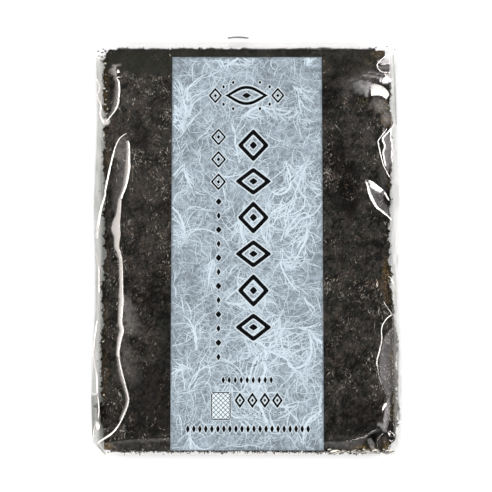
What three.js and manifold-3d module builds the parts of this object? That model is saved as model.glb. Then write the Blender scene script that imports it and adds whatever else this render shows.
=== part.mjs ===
// A clear film bag that holds a squared-up stack of dried nori sheets, lying on its back.
// The film is one sheet: folded at the front, sealed down both sides, and closed behind the stack
// into a flat header with a curved hang slit. A broad paper label is stuck on its face and turns
// down over the front edge of the stack.
// Millimetres, +X right, +Y towards the header, +Z up from the surface that the pack lies on.
import * as THREE from "three";
import { mergeVertices } from "three/addons/utils/BufferGeometryUtils.js";
import Module from "manifold-3d";

// ---- Driving dimensions -------------------------------------------------------------------
const SHEET_WIDTH = 190;
const SHEET_LENGTH = 270;
const SHEET_COUNT = 50;
const SHEET_PITCH = 0.32; // one dried sheet with the air under it
const STACK_HEIGHT = SHEET_COUNT * SHEET_PITCH;

const FILM_SIDE_MARGIN = 7.5; // film that stands out beyond the sheets at each side
const FILM_FRONT_MARGIN = 2.8; // the folded end fits closely
const FILM_BACK_RUN = 6; // film that slopes down behind the stack to the cross seal
const SEAM_HEIGHT = 6.5; // both film walls meet here, part way up the stack
const SEAM_FIN = 2; // flat sealed edge of the side seams
const FILM_PLY = 0.8; // two walls sealed together, with the air between them
const CORNER_TUCKS = { left: 8.5, right: 3 }; // film turned under at the front corners
const TUCK_LENGTH = 9;
const EDGE_SHARE = 0.85; // how far up the stack's own edge lifts the film, of its full height

const HEADER_LENGTH = 16;
const HEADER_DROOP = 5.6; // how far its free edge hangs below the cross seal
const SLIT_LENGTH = 14;
const SLIT_GAP = 1.2;
const SLIT_RISE = 0.8; // how far the curved slit bows towards the free edge
const SLIT_X = -5.8; // the slit isn't quite in the middle
const SLIT_OFFSET = 2.9; // from the cross seal

const LABEL_WIDTH = 102;
const LABEL_X = 0.9; // its middle line
const LABEL_THICKNESS = 0.4;
const LABEL_GAP = 0.3; // adhesive between the label and the film
const LABEL_BACK_INSET = 5.5; // bare nori between the label and the back edge of the stack
const LABEL_FRONT_INSET = 0.8;

const ROW_STEP = 4.2; // along the pack
const BASE_HALF_WIDTH = 92; // flat stretch that rests on the surface
const BASE_END_INSET = 3;

const EDGE_X = SHEET_WIDTH / 2;
const EDGE_Y = SHEET_LENGTH / 2;
const FRONT_TIP = -EDGE_Y - FILM_FRONT_MARGIN;
const CROSS_SEAL = EDGE_Y + FILM_BACK_RUN;
const HEADER_END = CROSS_SEAL + HEADER_LENGTH;

// ---- Where the film leaves the top sheet -----------------------------------------------------
// Each ridge is the crease where the slack film lifts off the top sheet and falls to the seam:
// [distance along the pack from its middle, how far the crease lies inside the sheets' edge].
const LEFT_RIDGE = [
  [-135, 6], [-123, 8], [-109, 15], [-98, 17.5], [-69, 10.3], [-54, 13],
  [0, 11.5], [42, 14.4], [78, 15.5], [100, 9], [135, 10],
];
const RIGHT_RIDGE = [
  [-135, 9], [-120, 8], [-96, 6], [-73, 8.5], [-55, 6], [-30, 6],
  [15, 6], [32, 9], [48, 15], [74, 7], [108, 11], [135, 7],
];
// The same for the front crease, across the pack. It climbs away from the front at the right corner.
const FRONT_RIDGE = [[-95, 4], [-70, 7.5], [66, 7], [86, 14], [95, 15]];
const BACK_RIDGE_INSET = 4;

const RIDGE_CREST = 0.7;
const RIDGE_SPREAD = 2.6;

// Pockets of slack film that stand off the sheets near the side seams.
// lean is the angle of the long axis from the Y axis, clockwise, in degrees.
const POCKETS = [
  { x: -91.5, y: 101, halfLength: 15, halfWidth: 5, lean: 12, height: 1.1 },
  { x: -86, y: 44, halfLength: 36, halfWidth: 6.5, lean: 14, height: 1.3 },
  { x: -87, y: -103, halfLength: 24, halfWidth: 7, lean: 4, height: 1.2 },
  { x: 93, y: 126, halfLength: 7, halfWidth: 5, lean: -10, height: 1.4 },
  { x: 94, y: 68, halfLength: 19, halfWidth: 5.5, lean: 0, height: 1.2 },
  { x: 89, y: 35, halfLength: 16, halfWidth: 5, lean: -35, height: 1.6 },
  { x: 92, y: -72, halfLength: 29, halfWidth: 6, lean: 0, height: 1.2 },
];
// Sharp folds in the crushed front right corner, each from one point to another.
const CORNER_FOLDS = [
  { from: [68, -128], to: [89, -119], height: 0.8 },
  { from: [84, -133], to: [90, -119], height: 0.7 },
  { from: [90, -119], to: [97, -128], height: 0.9 },
  { from: [90, -119], to: [92, -104], height: 0.7 },
];
const FOLD_SPREAD = 1.8;

const SWELL = 0.3; // the sheets lie in gentle waves
const SWELL_LENGTHS = { across: 74, along: 97 };
const SEAM_WANDER = 0.8; // the sealed edge isn't quite straight
const SEAM_WAVE_LENGTH = 118;

// ---- Small helpers ---------------------------------------------------------------------------
const clamp01 = (t) => Math.min(1, Math.max(0, t));
const smooth = (t) => t * t * (3 - 2 * t);
const lerp = THREE.MathUtils.lerp;

// Height of a smooth line through [position, value] points that are in order of position.
function along(points, position) {
  const last = points.length - 1;
  if (position <= points[0][0]) return points[0][1];
  if (position >= points[last][0]) return points[last][1];
  const i = points.findIndex(([p]) => p > position) - 1;
  const [p0, v0] = points[i];
  const [p1, v1] = points[i + 1];
  return lerp(v0, v1, smooth((position - p0) / (p1 - p0)));
}

// Share of its full height that the film has at this distance inside the sheets' edge.
function lift(inside, margin, ridgeInset) {
  if (inside < 0) return EDGE_SHARE * clamp01((inside + margin) / margin);
  return lerp(EDGE_SHARE, 1, smooth(clamp01(inside / ridgeInset)));
}

function distanceToSegment(x, y, [x0, y0], [x1, y1]) {
  const dx = x1 - x0;
  const dy = y1 - y0;
  const t = clamp01(((x - x0) * dx + (y - y0) * dy) / (dx * dx + dy * dy));
  return Math.hypot(x - x0 - t * dx, y - y0 - t * dy);
}

// ---- The film's form -------------------------------------------------------------------------
const ridgeInset = (side, y) => along(side < 0 ? LEFT_RIDGE : RIGHT_RIDGE, y);

function seamHalfWidth(y) {
  return EDGE_X + FILM_SIDE_MARGIN + SEAM_WANDER * Math.sin((2 * Math.PI * y) / SEAM_WAVE_LENGTH);
}

// Middle height of the two film walls: level along the stack, drooping along the header.
function seamHeight(y) {
  return SEAM_HEIGHT - HEADER_DROOP * smooth(clamp01((y - CROSS_SEAL) / HEADER_LENGTH));
}

function crests(x, y, liftSides) {
  const side = Math.sign(x) || 1;
  const offRidge = EDGE_X - Math.abs(x) - ridgeInset(side, y);
  const offFront = y + EDGE_Y - along(FRONT_RIDGE, x);
  const bump = (d) => RIDGE_CREST * Math.exp(-((d / RIDGE_SPREAD) ** 2));
  return bump(offRidge) + bump(offFront) * liftSides;
}

function pockets(x, y) {
  return POCKETS.reduce((sum, p) => {
    const lean = THREE.MathUtils.degToRad(p.lean);
    const dx = x - p.x;
    const dy = y - p.y;
    const u = (dx * Math.sin(lean) + dy * Math.cos(lean)) / p.halfLength;
    const v = (dx * Math.cos(lean) - dy * Math.sin(lean)) / p.halfWidth;
    return sum + p.height * Math.max(0, 1 - u * u - v * v);
  }, 0);
}

function cornerFolds(x, y) {
  return CORNER_FOLDS.reduce((sum, f) => {
    const d = distanceToSegment(x, y, f.from, f.to) / FOLD_SPREAD;
    return sum + f.height * Math.exp(-d * d);
  }, 0);
}

function swell(x, y) {
  return SWELL * Math.sin((2 * Math.PI * x) / SWELL_LENGTHS.across + 0.6) *
    Math.cos((2 * Math.PI * y) / SWELL_LENGTHS.along);
}

function topHeight(x, y) {
  const sides = lift(EDGE_X - Math.abs(x), seamHalfWidth(y) - SEAM_FIN - EDGE_X, ridgeInset(x, y));
  const front = lift(y + EDGE_Y, FILM_FRONT_MARGIN, along(FRONT_RIDGE, x));
  const back = lift(EDGE_Y - y, FILM_BACK_RUN, BACK_RIDGE_INSET);
  const share = sides * front * back;
  const relief = crests(x, y, sides) + pockets(x, y) + cornerFolds(x, y) + swell(x, y);
  return seamHeight(y) + FILM_PLY / 2 + share * (STACK_HEIGHT - SEAM_HEIGHT + relief);
}

function bottomHeight(x, y) {
  const inSides = clamp01((seamHalfWidth(y) - SEAM_FIN - Math.abs(x)) /
    (seamHalfWidth(y) - SEAM_FIN - BASE_HALF_WIDTH));
  const inFront = clamp01((y - FRONT_TIP) / (FILM_FRONT_MARGIN + BASE_END_INSET));
  const inBack = clamp01((CROSS_SEAL - y) / (FILM_BACK_RUN + BASE_END_INSET));
  const depth = SEAM_HEIGHT - FILM_PLY / 2;
  return seamHeight(y) - FILM_PLY / 2 - depth * inSides * Math.min(inFront, inBack);
}

// ---- Grid lines --------------------------------------------------------------------------------
const LABEL_BACK = EDGE_Y - LABEL_BACK_INSET;
const LABEL_FRONT = -EDGE_Y + LABEL_FRONT_INSET;

function evenly(from, to, step) {
  const count = Math.ceil((to - from) / step);
  return Array.from({ length: count + 1 }, (_, i) => lerp(from, to, i / count));
}

const FRONT_ROWS = [FRONT_TIP, -EDGE_Y - FILM_FRONT_MARGIN / 2];
const LABEL_ROWS = [LABEL_FRONT, ...evenly(-EDGE_Y + BASE_END_INSET, LABEL_BACK, ROW_STEP)];
const BACK_ROWS = [EDGE_Y - BASE_END_INSET, EDGE_Y, EDGE_Y + FILM_BACK_RUN / 2, CROSS_SEAL];
const HEADER_ROWS = evenly(CROSS_SEAL, HEADER_END, ROW_STEP).slice(1);
const BAG_ROWS = [...FRONT_ROWS, ...LABEL_ROWS, ...BACK_ROWS, ...HEADER_ROWS];

const LABEL_COLUMNS = evenly(LABEL_X - LABEL_WIDTH / 2, LABEL_X + LABEL_WIDTH / 2, LABEL_WIDTH / 6);

// Columns outside the label, from the seam inwards, so that one lies on the ridge itself.
function sideColumns(side, y) {
  const fin = seamHalfWidth(y) - SEAM_FIN;
  const ridge = EDGE_X - ridgeInset(side, y);
  const labelEdge = LABEL_WIDTH / 2 + side * LABEL_X;
  const inner = ridge - 3 * RIDGE_SPREAD;
  return [
    seamHalfWidth(y), fin, lerp(fin, EDGE_X, 0.5), EDGE_X, lerp(EDGE_X, ridge, 0.35),
    lerp(EDGE_X, ridge, 0.7), ridge, ridge - RIDGE_SPREAD, inner,
    lerp(inner, labelEdge, 0.35), lerp(inner, labelEdge, 0.7),
  ].map((x) => side * x);
}

// The film's corners are turned under at the front, which draws the sides in over the last stretch.
function drawnIn(x, y) {
  const tuck = x < 0 ? CORNER_TUCKS.left : CORNER_TUCKS.right;
  const nearTip = clamp01(1 - (y - FRONT_TIP) / TUCK_LENGTH);
  const nearSeam = clamp01((Math.abs(x) - LABEL_WIDTH / 2) / (seamHalfWidth(y) - LABEL_WIDTH / 2));
  return x - Math.sign(x) * tuck * nearTip * nearSeam * nearSeam;
}

// The closed outline of the bag at one row: over the top from left to right, then back underneath.
function bagSection(y) {
  const top = [...sideColumns(-1, y), ...LABEL_COLUMNS, ...sideColumns(1, y).reverse()];
  const fin = seamHalfWidth(y) - SEAM_FIN;
  const under = [
    seamHalfWidth(y), fin, lerp(fin, BASE_HALF_WIDTH, 0.5), BASE_HALF_WIDTH, BASE_HALF_WIDTH / 3,
  ];
  const bottom = [...under, ...under.map((x) => -x).reverse()];
  return [
    ...top.map((x) => new THREE.Vector3(drawnIn(x, y), y, topHeight(x, y))),
    ...bottom.map((x) => new THREE.Vector3(drawnIn(x, y), y, bottomHeight(x, y))),
  ];
}

// The label's outline at one row: its lower face lies just above the film, its upper face above that.
function labelSection(y) {
  const raised = (x, by) => new THREE.Vector3(x, y, topHeight(x, y) + by);
  const upper = LABEL_COLUMNS.map((x) => raised(x, LABEL_GAP + LABEL_THICKNESS));
  const lower = LABEL_COLUMNS.map((x) => raised(x, LABEL_GAP)).reverse();
  return [...upper, ...lower];
}

// ---- Solids ------------------------------------------------------------------------------------
// Joins closed sections, in order along +Y and each with as many points, into one closed surface.
function loft(sections) {
  const count = sections[0].length;
  const positions = sections.flat().flatMap((p) => [p.x, p.y, p.z]);
  const index = [];
  for (let row = 0; row < sections.length - 1; row++) {
    for (let i = 0; i < count; i++) {
      const next = (i + 1) % count;
      const a = row * count + i;
      const b = row * count + next;
      index.push(a, b, a + count, b, b + count, a + count);
    }
  }
  const cap = (first, turned) => {
    const ring = sections[first / count].map((p) => new THREE.Vector2(p.x, p.z));
    const faces = THREE.ShapeUtils.triangulateShape(ring, []);
    for (const [a, b, c] of faces) {
      index.push(first + a, first + (turned ? c : b), first + (turned ? b : c));
    }
  };
  cap(0, false);
  cap((sections.length - 1) * count, true);
  const geometry = new THREE.BufferGeometry();
  geometry.setAttribute("position", new THREE.Float32BufferAttribute(positions, 3));
  geometry.setIndex(index);
  return geometry;
}

// A slim slot that bows towards the header's free edge, tall enough to cut right through it.
function slitCutter() {
  const half = SLIT_LENGTH / 2;
  const bow = (gap) => new THREE.QuadraticBezierCurve(
    new THREE.Vector2(-half, gap),
    new THREE.Vector2(0, gap + 2 * SLIT_RISE),
    new THREE.Vector2(half, gap),
  ).getPoints(8);
  const outline = [...bow(0), ...bow(SLIT_GAP).reverse()];
  const slot = new THREE.ExtrudeGeometry(new THREE.Shape(outline), {
    depth: STACK_HEIGHT,
    bevelEnabled: false,
  });
  return slot.translate(SLIT_X, CROSS_SEAL + SLIT_OFFSET, -1);
}

const wasm = await Module();
wasm.setup();

function toManifold(geometry) {
  const bare = geometry.clone();
  bare.deleteAttribute("normal");
  bare.deleteAttribute("uv");
  const merged = mergeVertices(bare, 1e-4);
  return new wasm.Manifold(new wasm.Mesh({
    numProp: 3,
    vertProperties: merged.attributes.position.array,
    triVerts: new Uint32Array(merged.index.array),
  }));
}

function fromManifold(solid) {
  const mesh = solid.getMesh();
  const geometry = new THREE.BufferGeometry();
  geometry.setAttribute("position", new THREE.BufferAttribute(mesh.vertProperties, 3));
  geometry.setIndex(new THREE.BufferAttribute(mesh.triVerts, 1));
  geometry.computeVertexNormals();
  return geometry;
}

function bagGeometry() {
  const envelope = toManifold(loft(BAG_ROWS.map(bagSection)));
  return fromManifold(envelope.subtract(toManifold(slitCutter())));
}

// ---- Object ------------------------------------------------------------------------------------
const packedNori = new THREE.MeshStandardMaterial({ color: 0x2f2b27, roughness: 0.3, metalness: 0 });
const labelPaper = new THREE.MeshStandardMaterial({ color: 0xa9b7c2, roughness: 0.7, metalness: 0 });

function part(name, geometry, material) {
  const mesh = new THREE.Mesh(geometry, material);
  mesh.name = name;
  return mesh;
}

const pack = new THREE.Group();
pack.add(part("bag", bagGeometry(), packedNori));
pack.add(part("label", loft(LABEL_ROWS.map(labelSection)), labelPaper));
pack.position.y = -(FRONT_TIP + HEADER_END) / 2; // the origin is under the middle of the whole pack

export default pack;
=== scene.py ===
import math

import bpy
import numpy as np
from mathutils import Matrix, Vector


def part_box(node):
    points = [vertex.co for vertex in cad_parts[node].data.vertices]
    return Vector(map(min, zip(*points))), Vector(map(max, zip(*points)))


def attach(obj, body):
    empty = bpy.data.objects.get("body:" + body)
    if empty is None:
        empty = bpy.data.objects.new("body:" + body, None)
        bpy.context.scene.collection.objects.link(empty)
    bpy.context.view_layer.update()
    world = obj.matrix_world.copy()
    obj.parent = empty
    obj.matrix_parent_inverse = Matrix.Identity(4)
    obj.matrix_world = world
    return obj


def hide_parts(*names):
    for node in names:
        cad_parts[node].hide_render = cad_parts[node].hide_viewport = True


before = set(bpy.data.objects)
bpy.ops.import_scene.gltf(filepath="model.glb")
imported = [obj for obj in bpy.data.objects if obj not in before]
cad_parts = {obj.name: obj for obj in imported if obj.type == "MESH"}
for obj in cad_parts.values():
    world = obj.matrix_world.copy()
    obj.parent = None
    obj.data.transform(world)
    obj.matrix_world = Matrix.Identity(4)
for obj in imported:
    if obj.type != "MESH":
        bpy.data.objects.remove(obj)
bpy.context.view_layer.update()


# ---- The room that the film leaves for the sheets ---------------------------------------------
# Slack clear film lies over a squared stack of thin dried sheets and presses its edges down a
# little. Its walls meet in seams part way up the stack. All sizes are millimetres, X and Y from
# the stack's middle, and turn into metres in the frame's place as each mesh is made.
SHEET_WIDTH = 190
SHEET_LENGTH = 270
SHEET_COUNT = 50
STACK_HEIGHT = 16
HALF_WIDTH = SHEET_WIDTH / 2
HALF_LENGTH = SHEET_LENGTH / 2

SIDE_MARGIN = 7.5
FRONT_MARGIN = 2.8
BACK_RUN = 6
SEAM_HEIGHT = 6.5
SEAM_FIN = 2
EDGE_SHARE = 0.85
SIDE_SLOPE = 13
FRONT_SLOPE = 8
BACK_SLOPE = 14
BASE_HALF_WIDTH = 92
BASE_END_INSET = 3
FRONT_TIP = -HALF_LENGTH - FRONT_MARGIN
CROSS_SEAL = HALF_LENGTH + BACK_RUN
STACK_MIDDLE_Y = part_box("bag")[0][1] * 1000 - FRONT_TIP
BASE_GAP = 0.15
SEAM_WANDER = {"size": 0.8, "length": 118}
SWELL = {"height": 0.3, "across": 74, "along": 97}
SHELF = 1.8


def smooth(t):
    t = np.clip(t, 0, 1)
    return t * t * (3 - 2 * t)


def lift(inside, margin, slope, edge_share=EDGE_SHARE):
    """Share of its height that the pack has at this distance inside the sheets' edge."""
    beyond = edge_share * np.clip((inside + margin) / margin, 0, 1)
    return np.where(inside < 0, beyond, edge_share + (1 - edge_share) * np.clip(inside / slope, 0, 1))


def seam_half_width(y):
    return HALF_WIDTH + SIDE_MARGIN + SEAM_WANDER["size"] * np.sin(2 * np.pi * y / SEAM_WANDER["length"])


def swell(x, y):
    across = np.sin(2 * np.pi * x / SWELL["across"] + 0.6)
    return SWELL["height"] * across * np.cos(2 * np.pi * y / SWELL["along"])


def fullness(x, y, edge_share=EDGE_SHARE):
    """The pack stays nearly full out to where the topmost sheets overhang the others."""
    shelf = HALF_WIDTH + SHELF
    sides = lift(shelf - np.abs(x), seam_half_width(y) - SEAM_FIN / 2 - shelf, SIDE_SLOPE, edge_share)
    front = lift(y + HALF_LENGTH, FRONT_MARGIN, FRONT_SLOPE, edge_share)
    return sides * front * lift(HALF_LENGTH - y, BACK_RUN, BACK_SLOPE, edge_share)


def stack_top(x, y):
    return SEAM_HEIGHT + fullness(x, y) * (STACK_HEIGHT - SEAM_HEIGHT + swell(x, y))


def stack_bottom(x, y):
    from_fin = seam_half_width(y) - SEAM_FIN - np.abs(x)
    in_sides = from_fin / (SIDE_MARGIN - SEAM_FIN + HALF_WIDTH - BASE_HALF_WIDTH)
    in_front = (y - FRONT_TIP) / (FRONT_MARGIN + BASE_END_INSET)
    in_back = (CROSS_SEAL - y) / (BACK_RUN + BASE_END_INSET)
    inside = np.clip(in_sides, 0, 1) * np.clip(np.minimum(in_front, in_back), 0, 1)
    return SEAM_HEIGHT * (1 - inside) + BASE_GAP


def lumps(x, y, size, seed):
    """Smooth random lumps between -1 and 1, of about this size across."""
    table = np.random.default_rng(seed).uniform(-1, 1, (128, 128))
    u, v = np.broadcast_arrays(np.asarray(x, float) / size + 40, np.asarray(y, float) / size + 40)
    i, j = np.floor(u).astype(int), np.floor(v).astype(int)
    a, b = smooth(u - i), smooth(v - j)
    pick = lambda di, dj: table[(i + di) % 128, (j + dj) % 128]
    return ((pick(0, 0) * (1 - a) + pick(1, 0) * a) * (1 - b)
            + (pick(0, 1) * (1 - a) + pick(1, 1) * a) * b)


def make_piece(name, points, faces, material, slot, smooth_faces=True, **values):
    """A mesh object from millimetre points, on the frame's root body, with a value at each point."""
    metres = (np.asarray(points, float) + (0, STACK_MIDDLE_Y, 0)) * 0.001
    mesh = bpy.data.meshes.new(name)
    mesh.from_pydata(metres.tolist(), [], faces)
    mesh.polygons.foreach_set("use_smooth", [smooth_faces] * len(mesh.polygons))
    for key, numbers in values.items():
        mesh.attributes.new(key, "FLOAT", "POINT").data.foreach_set("value", np.asarray(numbers, float))
    mesh.materials.append(material)
    mesh.update()
    piece = bpy.data.objects.new(name, mesh)
    bpy.context.scene.collection.objects.link(piece)
    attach(piece, "root")
    return piece


def two_skins(x, y, upper_z, lower_z, kept=None):
    """Points and faces of a closed shell from grids of places, with holes where kept is false."""
    rows, columns = x.shape
    under = rows * columns
    points = np.concatenate([np.stack([x, y, z], -1).reshape(-1, 3) for z in (upper_z, lower_z)])
    at = np.arange(under).reshape(rows, columns)
    quads = np.stack([at[:-1, :-1], at[:-1, 1:], at[1:, 1:], at[1:, :-1]], -1).reshape(-1, 4)
    if kept is not None:
        quads = quads[kept.ravel()]
    edges = np.concatenate([quads[:, [k, (k + 1) % 4]] for k in range(4)])
    there = {(int(a), int(b)) for a, b in edges}
    rim = sorted((a, b) for a, b in there if (b, a) not in there)
    faces = quads.tolist() + (quads[:, ::-1] + under).tolist()
    return points, faces + [(b, a, a + under, b + under) for a, b in rim]


class Wire:
    """An output socket in a material, so that shader maths reads as plain Python."""

    def __init__(self, finish, node, output=0):
        self.finish, self.node, self.socket = finish, node, node.outputs[output]

    def out(self, name):
        return Wire(self.finish, self.node, name)

    def maths(self, operation, *others):
        return self.finish.node("ShaderNodeMath", {"operation": operation}, [self, *others])

    def __add__(self, other):
        return self.maths("ADD", other)

    def __sub__(self, other):
        return self.maths("SUBTRACT", other)

    def __mul__(self, other):
        return self.maths("MULTIPLY", other)

    def __rsub__(self, other):
        return self.finish.node("ShaderNodeMath", {"operation": "SUBTRACT"}, [other, self])

    def __abs__(self):
        return self.maths("ABSOLUTE")

    __radd__, __rmul__ = __add__, __mul__

    def rise(self, start, end):
        """0 below start and 1 above end, with a smooth step between."""
        return self.finish.node("ShaderNodeMapRange", {"interpolation_type": "SMOOTHSTEP"},
                                {"Value": self, "From Min": start, "From Max": end})


class Finish:
    """The nodes of a material or world."""

    def __init__(self, owner):
        self.owner = owner
        owner.use_nodes = True
        self.tree = owner.node_tree
        self.tree.nodes.clear()

    def node(self, kind, settings=None, sockets=None):
        made = self.tree.nodes.new(kind)
        for key, value in (settings or {}).items():
            if key == "stops":
                for k, (place, colour) in enumerate(value):
                    stop = made.color_ramp.elements[k] if k < 2 else made.color_ramp.elements.new(place)
                    stop.position, stop.color = place, (*colour, 1)
            else:
                setattr(made, key, value)
        sockets = sockets or {}
        for key, value in enumerate(sockets) if isinstance(sockets, list) else sockets.items():
            if isinstance(value, Wire):
                self.tree.links.new(value.socket, made.inputs[key])
            else:
                socket = made.inputs[key]
                wide = socket.type == "RGBA" and len(value) == 3
                socket.default_value = (*value, 1) if wide else value
        return Wire(self, made)

    def place(self):
        """Millimetres in the frame."""
        where = self.node("ShaderNodeTexCoord").out("Object")
        return self.node("ShaderNodeVectorMath", {"operation": "SCALE"}, {"Vector": where, "Scale": 1000})

    def value(self, name):
        """A value that the mesh carries at its points."""
        return self.node("ShaderNodeAttribute", {"attribute_name": name}).out("Fac")

    def turned(self, where, degrees, stretch):
        """Coordinates turned about Z, then stretched."""
        turn = self.node("ShaderNodeVectorRotate", {"rotation_type": "Z_AXIS"},
                         {"Vector": where, "Angle": math.radians(degrees)})
        return self.node("ShaderNodeVectorMath", {"operation": "MULTIPLY"}, [turn, stretch])

    def noise(self, where, scale, detail=2, roughness=0.5, distortion=0):
        return self.node("ShaderNodeTexNoise", {},
                         {"Vector": where, "Scale": scale, "Detail": detail,
                          "Roughness": roughness, "Distortion": distortion})

    def blend(self, factor, first, second, way="MIX"):
        """A colour between two others."""
        settings = {"data_type": "RGBA", "blend_type": way}
        return self.node("ShaderNodeMix", settings, {0: factor, 6: first, 7: second}).out(2)

    def ramp(self, factor, stops):
        return self.node("ShaderNodeValToRGB", {"stops": stops}, [factor])

    def bump(self, height, distance, strength=1):
        return self.node("ShaderNodeBump", {},
                         {"Height": height, "Distance": distance * 0.001, "Strength": strength})

    def skin(self, base, roughness, gloss, normal=None):
        """Ends the material in an opaque skin of this colour."""
        sockets = {"Base Color": base, "Roughness": roughness, "Specular IOR Level": gloss}
        if normal:
            sockets["Normal"] = normal
        return self.finished(self.node("ShaderNodeBsdfPrincipled", {}, sockets))

    def mixed(self, factor, first, second):
        """A shader between two others."""
        return self.node("ShaderNodeMixShader", {}, [factor, first, second])

    def finished(self, shader, end="ShaderNodeOutputMaterial"):
        self.tree.links.new(shader.socket, self.tree.nodes.new(end).inputs["Surface"])
        return self.owner


# ---- Dried sheets -----------------------------------------------------------------------------
# Laver is chopped, spread thin on mats and dried, so each sheet is a felt of dark brown-black
# blades, with olive and brown where it is thin. The edges are torn and uneven.
SHEET_THICKNESS = 0.16
LAVER_BLACK = (0.0030, 0.0027, 0.0024)
LAVER_GREEN = (0.0215, 0.0232, 0.0200)
LAVER_PURPLE = (0.0315, 0.0270, 0.0245)
LAVER_RUST = (0.060, 0.040, 0.027)
LAVER_CALM = (0.0200, 0.0203, 0.0160)
LAVER_PALE_GLINT = (0.20, 0.172, 0.150)
LAVER_THIN = (0.160, 0.100, 0.040)
LAVER_OLIVE = (0.085, 0.092, 0.052)
LAVER_SPECK = (0.50, 0.42, 0.25)

# Thin places that let more colour through: [x, y, half sizes, how thin, how green].
THIN_PLACES = [
    (-97, 104, 4.6, 28, 0.85, 0), (-95, 60, 3, 25, 0.6, 0.3), (-94.5, -10, 3, 14, 0.5, 0.4),
    (-95, -50, 4, 18, 0.45, 0.4), (-95.5, -85, 5, 22, 0.5, 0.3), (-92.5, -132, 6, 4, 1, 0),
    (93.5, -22, 4, 20, 0.8, 0), (96.8, 44, 2.6, 9, 1, 1), (91, 95, 6.5, 6, 1, 0.85),
    (94, 86, 5, 6, 0.9, 0.2), (97, -106, 4, 10, 1, 0.6), (89, 132, 5, 3, 0.9, 0.3),
    (97, -75, 2.5, 12, 0.8, 0), (76, -133, 12, 3, 0.8, 0.2), (92, -131, 4, 4, 0.8, 0),
    (79, 98, 5, 4, 0.35, 1), (84, 127, 6, 6, 0.25, 0.8),
]
# Places where painted shade darkens the laver: [x, y, half sizes, how dark].
SHADE_PLACES = [
    (-62, -102, 30, 38, 0.65), (-58, -55, 22, 34, 0.4), (68, 36, 11, 24, 1), (61, 62, 9, 16, 0.6),
    (67, -114, 26, 16, 0.55), (56, 100, 11, 26, 0.6), (-72, 73, 7, 9, 0.6), (-56, 25, 9, 12, 0.5),
    (74, -5, 12, 20, 0.3), (-86, 44, 9.5, 40, 0.85), (-91, 103, 6, 18, 0.5), (82.5, -126.5, 5, 9, 1),
    (70, -130, 18, 6, 0.7), (84, 106, 14, 13, 0.5),
]


def blots(x, y, places, reach, wander):
    """The strongest of some soft ovals at each place."""
    strongest = np.zeros_like(x)
    for at_x, at_y, half_x, half_y, strength in places:
        off = np.hypot((x - at_x) / half_x, (y - at_y) / half_y)
        strongest = np.maximum(strongest, strength * smooth(reach - reach * off + wander))
    return strongest


def painted_shade(x, y):
    return blots(x, y, SHADE_PLACES, 1.6, 0.22 * lumps(x, y, 7, 31) + 0.12 * lumps(x, y, 3, 32))


def calmness(x, y):
    """The smooth band along the back edge."""
    return smooth((y - 116) / 3) * (0.72 - 0.28 * np.clip(x / 60, -1, 1))


def thinness(x, y):
    thin, green = np.zeros_like(x), np.zeros_like(x)
    for at_x, at_y, half_x, half_y, share, greenness in THIN_PLACES:
        near = np.clip(1 - ((x - at_x) / half_x) ** 2 - ((y - at_y) / half_y) ** 2, 0, 1) ** 0.7
        thin, green = np.maximum(thin, near * share), np.maximum(green, near * greenness)
    return thin, green


def laver_values(x, y, thin_share=1, shade_share=1):
    """What the finish reads at each point of a sheet."""
    thin, green = thinness(x, y)
    dark, calm = painted_shade(x, y), calmness(x, y)
    return {"thin": thin * thin_share, "green": green, "dark": dark * shade_share, "calm": calm}


def laver_finish():
    laver = Finish(bpy.data.materials.new("dried_laver"))
    where = laver.place()
    clouds = laver.noise(where, 0.045, 3, 0.6, 0.5)
    patches = laver.noise(where, 0.16, 3, 0.6, 0.5)
    rusty = laver.noise(laver.turned(where, 20, (1, 0.7, 1)), 0.10, 3, 0.65, 0.8)
    base = laver.blend(patches.rise(0.40, 0.60), LAVER_GREEN, LAVER_PURPLE)
    base = laver.blend(rusty.rise(0.58, 0.72) * 0.5, base, LAVER_RUST)
    # Blades lie over each other at several slants, with dark gaps between and pale tips in drifts; the pale
    # tips are partly painted glints.
    gaps = laver.noise(laver.turned(where, 35, (1, 0.45, 1)), 0.7, 4, 0.75, 0.4)
    depth = gaps * 0.5 + clouds * 0.25 + patches * 0.25
    base = laver.blend(depth.rise(0.56, 0.42) * 0.95, base, LAVER_BLACK)
    drifts = (clouds * 0.4 + patches * 0.6).rise(0.44, 0.60)
    for turn, scale, share in [(38, 0.95, 0.55), (-8, 1.1, 0.45), (75, 1.3, 0.35)]:
        tips = laver.noise(laver.turned(where, turn, (1, 0.35, 1)), scale, 2, 0.65, 0.7)
        base = laver.blend(tips.rise(0.57, 0.76) * (drifts * 0.9 + 0.1) * share, base, LAVER_PALE_GLINT)
    # Painted shade: the laver goes towards black at the shaded places.
    base = laver.blend(laver.value("dark") * 0.85, base, LAVER_BLACK)
    base = laver.blend(laver.value("calm") * 0.75, base, LAVER_CALM)
    specks = laver.noise(where, 0.7, 3, 0.75, 0.5)
    colour = laver.blend(laver.value("green"), LAVER_THIN, LAVER_OLIVE)
    base = laver.blend(laver.value("thin") * specks.rise(0.42, 0.62), base, colour)
    base = laver.blend(laver.value("thin") * specks.rise(0.60, 0.70), base, LAVER_SPECK)
    return laver.skin(base, 0.6, 0.02, laver.bump(gaps + patches * 0.5, 0.5, 0.8))


laver = laver_finish()

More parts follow.
